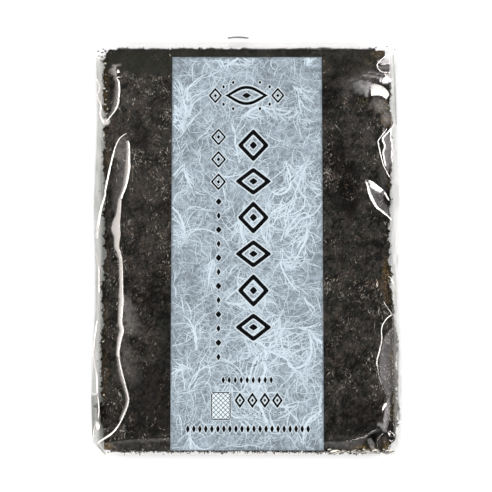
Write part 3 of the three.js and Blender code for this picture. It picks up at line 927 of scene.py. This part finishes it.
def beside(x, y, path, reaches, near, far):
    """A value that runs from near at a path to far at its reach, to its left where that is above 0."""
    line = smooth_path(path, 1.0)
    along = directions(line)
    reach = np.interp(np.linspace(0, 1, len(line)), np.linspace(0, 1, len(reaches)), reaches)
    widest = np.abs(reach).max() + 2
    low, high = line.min(0) - widest, line.max(0) + widest
    all_x, all_y = x.ravel(), y.ravel()
    close = np.flatnonzero((all_x > low[0]) & (all_x < high[0]) & (all_y > low[1]) & (all_y < high[1]))
    px, py = all_x[close, None] - line[:, 0], all_y[close, None] - line[:, 1]
    at = np.argmin(px * px + py * py, 1)
    row = np.arange(len(close))
    px, py = px[row, at], py[row, at]
    offset = (along[at, 0] * py - along[at, 1] * px) * np.sign(reach[at])
    beyond = np.abs(along[at, 0] * px + along[at, 1] * py)
    t = offset / np.abs(reach[at])
    value = np.zeros(x.size)
    value[close] = ((near + (far - near) * np.clip(t, 0, 1)) * smooth(offset / 0.5 + 0.5)
                    * smooth((1 - t) * np.abs(reach[at]) / 1.2 + 0.5) * (beyond < 1.2))
    return value.reshape(x.shape)


def strongest_beside(x, y, folds):
    return np.maximum.reduce([beside(x, y, *fold) for fold in folds])


# Folds that more than one row follows, in the tables below or among the creases.
LEFT_FLAP = [(-87.6, 114.8), (-85.6, 111.8), (-85.2, 105.6), (-85.9, 98.5), (-88, 92.3), (-91.3, 87.9)]
SLANT_FLAP = [(79.8, 44.2), (81.7, 34.8), (85.8, 27.4), (91.6, 22.7), (96.6, 17.7)]
SLANT_FACET = [(80.1, 44.6), (82.8, 44.5), (85.8, 42.3), (92.1, 37.5)]
FRONT_FOLD = [(-94.4, -129.6), (-83.3, -128), (-70.2, -126.9), (-51, -126.2)]

# Painted sheen beside folds: creased film drawn milky, partly its own whitening and partly where it catches
# the light: [path, reach to one side, near, far]. Paths run from back to front or left to right, and a
# reach above 0 is to the left of the way they run.
SHEEN_VEILS = [
    (LEFT_FLAP, [-2.5, -4.5, -4, -2], 0.32, 0.0),
    ([(-87.8, 121.8), (-88.2, 119.4), (-87.4, 116.8)], [-3.4, -5.4, -3], 0.36, 0.0),
    ([(-89.5, 122.9), (-85.3, 123.2)], [0.9], 0.26, 0.12),
    ([(-81, 73.5), (-80.4, 66), (-80.1, 56), (-81.6, 42), (-85, 30), (-86, 20)], [-6, -8, -9, -9, -6, -1],
     0.09, 0.015),
    ([(-79, 71), (-78.2, 66), (-78.1, 56), (-79.7, 42.4), (-83.5, 32.1)], [-2, -3.2, -3.4, -2],
     0.66, 0.12),
    ([(-83.6, 31.8), (-84.5, 17), (-84.1, 7.6), (-85, 0.9), (-83.6, -4.5), (-82.4, -11.8), (-82, -25.2),
      (-81.7, -33.2)], [-2, -2.6, -6, -3.4, -2, -2.4, -2.2, -3], 0.60, 0.40),
    ([(-81.5, -33), (-81.4, -37.2), (-82, -43.8), (-82.3, -49.8), (-81.2, -55.7), (-82.5, -61),
      (-83.5, -66.3), (-84, -71.5)], [-3, -3.4, -2.8, -2.8, -3, -2.4, -2], 0.95, 0.20),
    ([(-84, -70), (-82.4, -80.2), (-79.5, -91.4), (-77.6, -99.2), (-78.2, -105.1), (-81.7, -113.6)],
     [-2.4, -3.2, -2.2, -2], 0.50, 0.0),
    ([(88.9, 125.5), (92, 124), (96.8, 124.8)], [1.0, 5, 7.6], 0.62, 0.42),
    ([(88.4, 122.6), (93, 123.6), (96.8, 124.4)], [-2, -3.6, -4.4], 0.12, 0.12),
    ([(90, 112), (92, 110.9), (94.7, 110.8), (97.6, 112.4)], [3, 6.5, 7.4, 6], 0.8, 0.4),
    ([(77, 112.3), (80.6, 111.9), (84.6, 110.6)], [-2, -2.4, -2], 0.30, 0.04),
    ([(79, 116), (84.6, 114.9), (90.4, 113.6)], [0.9, 1.6, 1.8], 0.26, 0.14),
    ([(83, 117.8), (86.8, 117.2), (90.8, 116.2)], [0.8, 1.2, 1.4], 0.22, 0.12),
    ([(74.4, 108.4), (77.4, 106), (80.6, 104.4)], [3.4, 4, 4.6], 0.10, 0.30),
    ([(81.6, 102.6), (82, 106), (83.4, 110.6)], [2.4, 6, 5], 0.34, 0.06),
    ([(91.4, 79.4), (90.9, 73.4), (92.3, 67.9), (91.2, 63.2), (93.1, 54.4), (94, 50)],
     [1, 8, 8, 7, 4, 0.6], 0.22, 0.09),
    (SLANT_FLAP, [2, 8, 8, 5, 1], 0.13, 0.05),
    (SLANT_FACET, [-2.4, -6, -6.4, -3], 0.34, 0.06),
    ([(96.4, -53.6), (92, -58.6), (89.4, -66), (87.8, -77), (88, -84), (90, -92), (93.4, -100.6)],
     [0.8, 8, 10, 11, 11, 8, 1], 0.14, 0.04),
    ([(94.3, -101), (94.5, -107.9), (93.8, -114.5), (92.1, -121)], [-1.5, -3.6, -4, -2.4], 0.08, 0.34),
    ([(52, -128.6), (61.1, -128.4), (67, -128.1), (74.3, -125.5), (78.6, -123.6)], [-3, -4, -6, -7, -2],
     0.075, 0.02),
    ([(78.6, -123.6), (82, -121.9), (86.2, -120.4)], [-1.6, -1.4, -1], 0.08, 0.04),
    ([(79.4, -128), (80.6, -131), (82.4, -135)], [2.8, 3.4, 1.6], 0.15, 0.10),
    ([(86.4, -118), (87.6, -118.6), (89.2, -121)], [2, 2.8, 1], 0.22, 0.12),
    (FRONT_FOLD, [-1.6, -2.2, -2.4, -2.2], 0.06, 0.03),
    (FRONT_FOLD, [-6, -7, -8, -8], 0.012, 0.012),
]
# Painted sheen, milky places without a fold: [x, y, half sizes, strength].
SHEEN_HAZES = [
    (89.5, 96, 7, 7, 0.10), (94, 87, 4.5, 7, 0.12), (-94.5, 84.5, 3.6, 3.4, 0.6),
    (-81.5, 116, 4, 3.6, 0.035), (-80, 101, 6, 12, 0.022), (-79, -43, 5, 12, 0.09),
    (-76.5, -52, 7, 12, 0.07), (-79, -72, 5, 16, 0.05), (-75, -84, 6, 14, 0.03),
    (-85, 64, 5, 13, 0.10), (82, 76, 7, 14, 0.012), (91.5, 46, 3, 12, 0.03),
    (-68, 60, 34, 80, 0.006), (78, 107, 8, 6, 0.13), (74, 111, 9, 8, 0.06),
    (80, 115, 8, 8, 0.04), (68, 108, 8, 10, 0.02), (-74, 112, 16, 3, 0.01),
]
# Painted shade in the film, grey lines where the side seams turn up and grey hollows: [path, reach to one
# side, near, far].
SHADE_FOLDS = [
    ([(99.4, 132), (100.2, 113.3), (100.5, 99.6), (101.1, 85.9)], [0.9], 0.8, 0.5),
    ([(98.8, -50), (99, -60.6), (100.3, -65.2), (100.1, -75.1), (99.8, -88.3), (99.9, -101.4),
      (100.6, -113)], [1.2], 0.9, 0.5),
    ([(98, -12), (98.6, -30), (98.4, -48)], [1.5, 2, 1.5], 0.45, 0.3),
    ([(-98.6, 72), (-97.2, 64), (-95.4, 56)], [2.6, 2.6, 2], 0.75, 0.5),
    ([(-103.4, -97.8), (-100, -97.8), (-97.6, -97.8)], [-19, -18, -17], 0.72, 0.78),
    ([(-103.4, -116), (-102.4, -116), (-101.4, -116)], [-10, -9, -8], 0.75, 0.75),
    ([(78.8, -124), (81, -121.8), (84.5, -122)], [-9, -9.5, -8], 1.0, 1.0),
]
# Painted shade beside the left and right seams, where the stack shades the table, darker on the left: [at
# the seam, more for each mm, streaks].
MARGIN_SHADES = [(0.33, 0.036, 0.10), (0.01, 0.028, 0.16)]


def film_look(x, y):
    """How milky and how grey the film is at places on its upper wall: the milky film is painted sheen, the
    grey is painted shade.
    """
    hazy = blots(x, y, SHEEN_HAZES, 1.5, 0.3 * lumps(x, y, 3.4, 57) + 0.2 * lumps(x, y, 1.5, 58))
    from_seam = seam_half_width(y) - np.abs(x)
    at_seam, inwards, streaky = (np.where(x < 0, *sides) for sides in zip(*MARGIN_SHADES))
    streaks = streaky * lumps(x, y * 0.2, 1.6, 55) + 0.07 * lumps(x, y, 9, 56)
    in_margin = smooth((np.abs(x) - 92.5) / 2.5) * smooth(from_seam / 0.8) * smooth((132.5 - y) / 5)
    margins = (at_seam + inwards * from_seam + streaks) * in_margin
    shade_grey = np.maximum(margins, strongest_beside(x, y, SHADE_FOLDS))
    milky = np.maximum(hazy, strongest_beside(x, y, SHEEN_VEILS))
    return milky, np.clip(shade_grey, 0, 1) * smooth((CROSS_SEAL - y) / 3)


def drawn_in(x, y):
    """The front corners are turned under, which draws the film in over the last stretch."""
    tuck = np.where(x < 0, CORNER_TUCKS["left"], CORNER_TUCKS["right"])
    near_tip = np.clip(1 - (y - FRONT_TIP) / CORNER_TUCKS["length"], 0, 1)
    near_seam = np.clip((np.abs(x) - LABEL_HALF_WIDTH) / (seam_half_width(y) - LABEL_HALF_WIDTH), 0, 1)
    return x - np.sign(x) * tuck * near_tip * near_seam ** 2


def film_finish(name, gloss, roughness):
    """Clear film that reflects by this share, or by what the mesh carries as gleam."""
    film = Finish(bpy.data.materials.new(name))
    where = film.place()
    ripple = film.noise(film.turned(where, 0, (1, 0.35, 1)), 0.35, 2, 0.5)
    normal = film.bump(ripple, 0.1, 0.4)
    mirror = film.node("ShaderNodeBsdfGlossy", {},
                       {"Color": FILM_SHINE, "Roughness": roughness, "Normal": normal})
    through = film.node("ShaderNodeBsdfTransparent", {}, {"Color": (FILM_CLEAR,) * 3})
    slant = film.node("ShaderNodeLayerWeight", {}, {"Blend": 0.5, "Normal": normal}).out("Facing")
    share = slant.maths("POWER", 4) * 0.5 + (film.value("gleam") if gloss is None else gloss)
    # Grey film is painted shade.
    shade_grey = film.node("ShaderNodeBsdfTransparent", {}, {"Color": FILM_SHADE_GREY})
    through = film.mixed(film.value("shade_grey"), through, shade_grey)
    across = film.node("ShaderNodeSeparateXYZ", {}, [where]).out("X")
    # The milky layer is painted sheen, warm on the left and cool on the right.
    tone = film.blend(across.rise(-40, 40), MILKY_SHEEN_WARM, MILKY_SHEEN_COOL)
    milk = film.node("ShaderNodeBsdfPrincipled", {},
                     {"Base Color": tone, "Roughness": 1.0, "Specular IOR Level": 0.0})
    milky = film.value("milky")
    uneven = film.noise(where, 0.55, 4, 0.7).rise(0.30, 0.72) - 0.5
    through = film.mixed(milky * (1 + uneven * (1 - milky.rise(0.0, 0.5))), through, milk)
    return film.finished(film.mixed(share, through, mirror))


def film_bag():
    """Both walls, finer over the margins and towards the ends."""
    width = 2 * (HALF_WIDTH + SIDE_MARGIN)
    across = [np.linspace(0, 27, 50), np.linspace(31, width - 31, 30), np.linspace(width - 27, width, 50)]
    along = [np.linspace(FRONT_TIP, FRONT_TIP + 14, 26), np.arange(FRONT_TIP + 15, CROSS_SEAL - 9, 1.0),
             np.linspace(CROSS_SEAL - 8, CROSS_SEAL, 13)]
    u, y = np.meshgrid(np.concatenate(across) * 2 / width - 1, np.concatenate(along))
    x = u * seam_half_width(y)
    placed = drawn_in(x, y)
    points, faces = two_skins(placed, y, film_top(x, y), film_bottom(x, y))
    milky, shade_grey = (value.ravel() for value in film_look(placed, y))
    values = {"milky": np.concatenate([milky, 0 * milky]), "shade_grey": np.tile(shade_grey, 2)}
    return {"points": points, "faces": faces, **values}


clear_film = film_finish("clear_film", FILM_GLOSS, 0.07)
bag = make_piece("film_bag", **film_bag(), material=clear_film, slot="filled_film")
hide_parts("bag")

# ---- Header -----------------------------------------------------------------------------------
# Behind the cross seal both film walls run on together as a flat flap. A curved slit is cut
# through both, to hang the bag by.
HEADER_LENGTH = 16
HEADER_DROOP = 5.6
SLIT_LENGTH = 14
SLIT_GAP = 0.7
SLIT_RISE = 0.8
SLIT_X = -5.8
SLIT_OFFSET = 3.3
SLIT_EDGE = 0.28
# The bead round the slit is drawn dark as painted shade.
SLIT_SHADE_DARK = (0.045, 0.042, 0.040)
SLIT_SHADE_LIGHT = (0.11, 0.105, 0.10)


def slit_line(x):
    """The slit's front edge, which bows towards the header's free edge."""
    t = np.clip((x - SLIT_X) / (SLIT_LENGTH / 2), -1, 1)
    return CROSS_SEAL + SLIT_OFFSET + SLIT_RISE * (1 - t * t)


def header_height(y):
    return SEAM_HEIGHT - HEADER_DROOP * smooth((y - CROSS_SEAL) / HEADER_LENGTH)


def header_flap():
    half = seam_half_width(CROSS_SEAL)
    start, end = SLIT_X - SLIT_LENGTH / 2, SLIT_X + SLIT_LENGTH / 2
    sides, steps = 60, 12
    across = np.concatenate([np.linspace(-half, start, sides), np.linspace(start, end, steps + 1)[1:-1],
                             np.linspace(end, half, sides)])
    before, behind = [0, 1.6, 2.6], [6, 7.5, 9, 11, 13, 14.6, HEADER_LENGTH]
    rows = [CROSS_SEAL + level + 0 * across for level in before + behind]
    rows[len(before):len(before)] = [slit_line(across), slit_line(across) + SLIT_GAP]
    y = np.array(rows)
    x = across * (seam_half_width(y) / half)
    crinkle = 0.12 * lumps(x, y, 4, 63) * np.clip((y - CROSS_SEAL) / 3, 0.2, 1)
    z = header_height(y) + crinkle
    kept = np.ones((len(rows) - 1, len(across) - 1), bool)
    kept[len(before), sides - 1:sides - 1 + steps] = False
    return two_skins(x, y, z + WALL_GAP / 2, z - WALL_GAP / 2, kept)


def slit_edge():
    """A fine dark bead round the slit: the film's cut edge, drawn dark as painted shade for the shadow and
    refraction along it.
    """
    x = np.linspace(SLIT_X - SLIT_LENGTH / 2, SLIT_X + SLIT_LENGTH / 2, 15)
    there, back = np.stack([x, slit_line(x)], -1), np.stack([x, slit_line(x) + SLIT_GAP], -1)[::-1]
    path = np.concatenate([there, back])
    path[:, 0] *= seam_half_width(path[:, 1]) / seam_half_width(CROSS_SEAL)
    tangent = np.roll(path, -1, 0) - np.roll(path, 1, 0)
    tangent /= np.hypot(*tangent.T)[:, None]
    points, sides = [], 6
    for (at_x, at_y), (tx, ty) in zip(path, tangent):
        for k in range(sides):
            turn = 2 * math.pi * k / sides
            out, up = SLIT_EDGE * math.cos(turn), SLIT_EDGE * math.sin(turn)
            points.append((at_x - ty * out, at_y + tx * out, header_height(at_y) + up))
    ring = np.arange(len(points)).reshape(-1, sides)
    onward = np.roll(ring, -1, 0)
    faces = np.stack([ring, onward, np.roll(onward, -1, 1), np.roll(ring, -1, 1)], -1)
    return points, faces.reshape(-1, 4).tolist()


def slit_shade_finish():
    bead = Finish(bpy.data.materials.new("slit_shade_edge"))
    cloudy = bead.noise(bead.place(), 0.8, 2).rise(0.35, 0.65)
    return bead.skin(bead.blend(cloudy, SLIT_SHADE_DARK, SLIT_SHADE_LIGHT), 0.35, 0.5)


make_piece("header_flap", *header_flap(), clear_film, "filled_film")
make_piece("slit_edge", *slit_edge(), slit_shade_finish(), "filled_film")

# ---- Creases ----------------------------------------------------------------------------------
# Where the slack film has folded over on itself it stands in sharp pleats. Each is a thin welt
# along a path, with a flank to each side: [path, width to the left, to the right, gleam, how milky as
# painted sheen].
# A list of widths is spread along the path. The wider flank leans so that it catches the lights.
GLINT = 38.5
SEEN_FROM = (0, -117, 1035)
FULL_GLEAM = 0.42
FLANK_GLEAM = 0.35
WELT = {"fall": 0.12, "raised": 0.3, "least": 0.03}
PLEATS = [
    # upper left flap
    ([*LEFT_FLAP, (-94.1, 84.6)], [0.3], [0.5, 1.0, 0.9, 0.7, 0.6, 0.5], [1, 1, 0.9, 0.8, 1]),
    ([(-88, 114.3), (-86.1, 115), (-84.3, 115)], [0.4], [0.2], [0.7]),
    ([(-102, 116.3), (-99.3, 108.9), (-101.2, 104.5), (-98.2, 96.2), (-98.6, 90.3), (-95.9, 83.8)], [0.5],
     [0.5], [0.6], 2),
    ([(-88.4, 118.3), (-86.9, 118), (-85.1, 118.3)], [2, 3.1, 3.1], [0.25], [0.8, 1, 1], 0.3),
    # long left flap
    ([(-80.3, 76.4), (-83.1, 74.8), (-86.1, 71.2), (-88.6, 64.1), (-91.2, 53.2), (-93.9, 39), (-94.2, 35),
      (-97.1, 24.9), (-99.2, 12.8), (-100.5, 4.8)], [0.3, 0.45, 0.4, 0.35, 0.45, 0.4],
     [0.3, 0.8, 0.8, 0.8, 0.9, 0.8], [1]),
    ([(-79.2, 71.5), (-78.2, 68.1), (-78.1, 58), (-77.9, 53.2), (-79.7, 42.4), (-83.5, 32.1)], [0.4],
     [0.5, 1.0, 1.1, 1.0], [1]),
    # its lower run, which ends at the front left corner
    ([(-83.5, 31.5), (-84.4, 17), (-84.1, 7.6), (-85, 0.9), (-83.6, -4.5), (-82.4, -11.8), (-82, -25.2),
      (-81.7, -33.2)], [0.25], [0.5, 0.5, 0.5, 0.6, 0.7], [0.5, 0.25, 0.12, 0.35, 0.5, 0.4]),
    ([(-81.7, -33.2), (-82, -43.8), (-82.3, -49.8), (-81.2, -55.7), (-82.5, -61), (-83.5, -66.3),
      (-84.2, -70.9), (-82.5, -80.2), (-79.5, -91.4), (-77.6, -99.2), (-78.2, -105.1), (-81.7, -113.6),
      (-86.2, -121), (-92, -126), (-98.2, -130.1)], [0.3, 0.3, 0.35, 0.4, 0.5],
     [0.8, 1.0, 1.0, 1.0, 0.9, 0.8, 0.8, 0.6, 0.55, 0.8, 1.1],
     [0.28, 0.3, 0.3, 0.35, 0.5, 0.55, 0.4, 0.55, 1, 1]),
    # left seam
    ([(-101.3, -2.6), (-98.7, -12), (-98.1, -25.3), (-98.1, -31.3)], [0.45], [0.4], [0.8], 0.7),
    ([(-99.4, -48), (-100.8, -57.9), (-101.5, -64.5), (-102.3, -71.2), (-99.6, -82.6), (-98.7, -89.9),
      (-98.5, -97)], [0.4], [0.4], [0.6], 2),
    ([(-102.9, -97.2), (-98.3, -97.4)], [0.35], [0.3], [0.4], 1.6),
    ([(-98.3, -98.4), (-97.4, -103.1), (-97, -109), (-97.6, -113.4)], [0.3], [0.3], [0.4], 1.6),
    ([(-98.6, -115), (-98.3, -118), (-97.6, -121.6)], [1.0, 1.8, 0.8], [0.5], [0.6], 1.4),
    ([(-99.2, -116.4), (-101, -120), (-101.4, -126.4)], [0.3], [0.3], [0.3], 1.2),
    ([(-102.1, -127.1), (-98, -131.7), (-93.6, -136.4)], [0.35], [0.35], [0.6]),
    # upper right corner
    ([(95.3, 131), (90.7, 127.4), (88.1, 124), (88.6, 120.7), (91.3, 118.5), (96.9, 118.3)], [0.5], [0.4],
     [1]),
    ([(89.7, 123.6), (93, 123.9), (96.8, 124.8)], [0.5], [0.25], [0.5]),
    ([(89.8, 112), (93, 111.3), (96, 111.4), (99, 114)], [0.8, 5.4, 7.4, 5.4], [0.3], [0.6, 1, 1, 1]),
    ([(80.4, 103), (82.6, 102.1), (85, 102.2), (89, 102.3), (92, 101.4), (94.8, 99.2)],
     [2, 7.4, 8.2, 7, 5, 1.2], [0.3], [0.2, 0.7, 1, 1, 1]),
    # two lines beside each other, upper right
    ([(94.1, 80), (88.3, 72.2), (88.3, 69.3), (89.5, 63.2), (91.7, 54.4), (95.6, 46.9)], [0.45], [0.2],
     [1]),
    ([(99.1, 83.7), (95.1, 78.1), (90.9, 73.4), (92.3, 67.9), (91.2, 63.2), (93.1, 54.4)],
     [0.6, 0.9, 0.9, 0.8, 0.5], [0.4], [1], 0.3),
    ([(99.8, 85.9), (97, 79), (96.5, 73.4), (97.6, 68.3), (97.1, 62.7), (97.6, 56)], [0.4, 0.5, 0.3],
     [0.3], [0.6], 1.3),
    # slanting flap, right
    (SLANT_FLAP, [0.5, 1.6, 2.0, 1.0, 0.9, 0.6], [0.45], [1]),
    (SLANT_FACET, [0.25], [1.5, 3.6, 3.4, 1.6], [1]),
    ([(92.1, 37.5), (93.9, 34.1), (95.4, 31.2)], [0.3], [0.9], [1]),
    # right edge
    ([(94, -19.7), (95.7, -21.2), (100.9, -30.2)], [0.45], [0.35], [1]),
    ([(91.1, -36.5), (92.9, -39.5), (96.8, -45.4)], [0.4], [0.4], [0.6]),
    ([(96.3, -45), (92.1, -48.7), (89.4, -54.4), (89.4, -62.6), (86.1, -75.1), (86.3, -79.7)], [0.4],
     [0.5], [1, 1, 0.9, 0.6]),
    ([(86.3, -79.7), (87.8, -87.6), (92.6, -100.1)], [0.3], [0.3], [0.35, 0.1]),
    ([(92.8, -102), (92, -104.3), (89.2, -108.6)], [0.25], [0.8, 1.7, 1.4, 0.6], [1]),
    ([(86.4, -23.5), (86.6, -25.2), (86.8, -26.8)], [0.5], [0.5], [1]),
    # crushed front right corner
    ([(65.3, -128), (76.8, -125.1), (81.1, -122.3), (85.7, -120.2)], [0.25], [0.5, 0.8, 0.7], [0.12]),
    ([(90.1, -122.3), (87.4, -124.9), (85.8, -128.2), (85, -134)], [0.4], [0.35], [0.25, 0.12]),
    ([(92.6, -122.6), (93.6, -124.6), (95.4, -125.4)], [1.6, 1.8, 0.8], [0.4], [0.9]),
    ([(93.2, -121.3), (95.9, -122.9), (97.5, -125.5)], [0.35], [0.3], [0.5]),
    ([(93.2, -126.8), (94.8, -128.3), (96.7, -127)], [0.35], [0.3], [0.5]),
]


def pleats():
    points, faces, gleams, milky = [], [], [], []
    for path, left_widths, right_widths, gleam, *milk in PLEATS:
        line = smooth_path(path)
        count = len(line)
        along = np.linspace(0, 1, count)
        tangent = directions(line)
        leftward = np.stack([-tangent[:, 1], tangent[:, 0]], -1)
        taper = smooth(np.minimum(along, 1 - along) * count / 5 + 0.25)
        spread = lambda values: np.interp(along, np.linspace(0, 1, len(values)), values)
        widths = [spread(w) * taper for w in (left_widths, right_widths)]
        places = [line + leftward * widths[0][:, None], line, line - leftward * widths[1][:, None]]
        heights = [film_top(*place.T) for place in places]
        wide = np.maximum(*widths)
        on_left = widths[0] > widths[1]
        facing = np.where(on_left[:, None], leftward, -leftward)
        towards = np.sum((np.array(SEEN_FROM[:2]) - line) * facing, -1) / SEEN_FROM[2]
        lean = np.tan((math.radians(GLINT) + np.arctan(towards)) / 2)
        step = np.clip(WELT["raised"] * np.abs(heights[0] - heights[2]), 0, WELT["raised"])
        level = np.maximum.reduce(heights) + step
        edges = [level + np.clip(z - level, -WELT["fall"] * w, 0) for z, w in zip(heights[::2], widths)]
        crest = np.maximum(np.where(on_left, *edges) + lean * wide, level + WELT["least"])
        first = len(points)
        for place, z in zip(places, (edges[0] + 0.01, crest, edges[1] + 0.01)):
            points.extend(np.column_stack([place, z]))
        shine = spread(gleam) * FULL_GLEAM
        gleams.extend(np.concatenate([FLANK_GLEAM * shine, shine, FLANK_GLEAM * shine]))
        milky.extend([milk[0] if milk else 0] * 3 * count)
        left, top, right = (first + np.arange(count) + k * count for k in range(3))
        for a, b in ((top, left), (right, top), (left, right)):
            faces.extend(np.stack([a[:-1], a[1:], b[1:], b[:-1]], -1).tolist())
        faces += [(int(left[0]), int(right[0]), int(top[0])), (int(right[-1]), int(left[-1]), int(top[-1]))]
    return points, faces, gleams, milky


points, faces, gleams, milky = pleats()
creased_film = film_finish("creased_film", None, 0.10)
make_piece("film_creases", points, faces, creased_film, "filled_film", smooth_faces=False,
           gleam=gleams, milky=milky)

# ---- Table and studio light -------------------------------------------------------------------
# A plain white table that the bag lies on, under one large ring of soft light. The middle of the
# ring is dark, where the camera looks down through it.
FLOOR_WHITE = (0.92, 0.92, 0.92)
RING_LIGHT = 5.2
LOW_LIGHT = 0.25
FILL_LIGHT = 0.015
RING = {"inner": 29.5, "outer": 48}


def studio():
    table = Finish(bpy.data.materials.new("white_table"))
    board = table.node("ShaderNodeBsdfDiffuse", {}, {"Color": FLOOR_WHITE})
    mesh = bpy.data.meshes.new("table_top")
    mesh.from_pydata([(-6, -6, 0), (6, -6, 0), (6, 6, 0), (-6, 6, 0)], [], [(0, 1, 2, 3)])
    mesh.materials.append(table.finished(board))
    floor = bpy.data.objects.new("table_top", mesh)
    floor.location.z = -0.0002
    bpy.context.scene.collection.objects.link(floor)
    sky = Finish(bpy.data.worlds.new("studio"))
    facing = sky.node("ShaderNodeTexCoord").out("Generated")
    upward = sky.node("ShaderNodeSeparateXYZ", {}, [facing]).out("Z")
    outer, inner = (math.cos(math.radians(RING[edge])) for edge in ("outer", "inner"))
    ring = upward.rise(outer - 0.03, outer + 0.03) * (1 - upward.rise(inner - 0.02, inner + 0.02))
    strength = ring * RING_LIGHT + (1 - upward.rise(0.10, 0.45)) * LOW_LIGHT + FILL_LIGHT
    glow = sky.node("ShaderNodeBackground", {}, {"Color": (1, 1, 1), "Strength": strength})
    bpy.context.scene.world = sky.finished(glow, "ShaderNodeOutputWorld")
    bpy.context.scene.view_settings.view_transform = "Standard"


studio()

# ---- Camera -----------------------------------------------------------------------------------
# It looks almost straight down on the bag, as in the photograph, from a little in front of the
# middle and about a metre away.
CAMERA_HEIGHT = 83.5
CAMERA_DISTANCE = 1040
LOOK_AT = (-0.4, 1.1, 13)

tilt = math.radians(90 - CAMERA_HEIGHT)
target = Vector((LOOK_AT[0], LOOK_AT[1] + STACK_MIDDLE_Y, LOOK_AT[2])) * 0.001
camera = bpy.data.objects.new("camera", bpy.data.cameras.new("camera"))
camera.data.lens = 114
camera.data.sensor_width = 36
camera.data.clip_start = 0.01
camera.location = target + Vector((0, -math.sin(tilt), math.cos(tilt))) * CAMERA_DISTANCE * 0.001
camera.rotation_euler = (tilt, 0, 0)
bpy.context.scene.collection.objects.link(camera)
bpy.context.scene.camera = camera
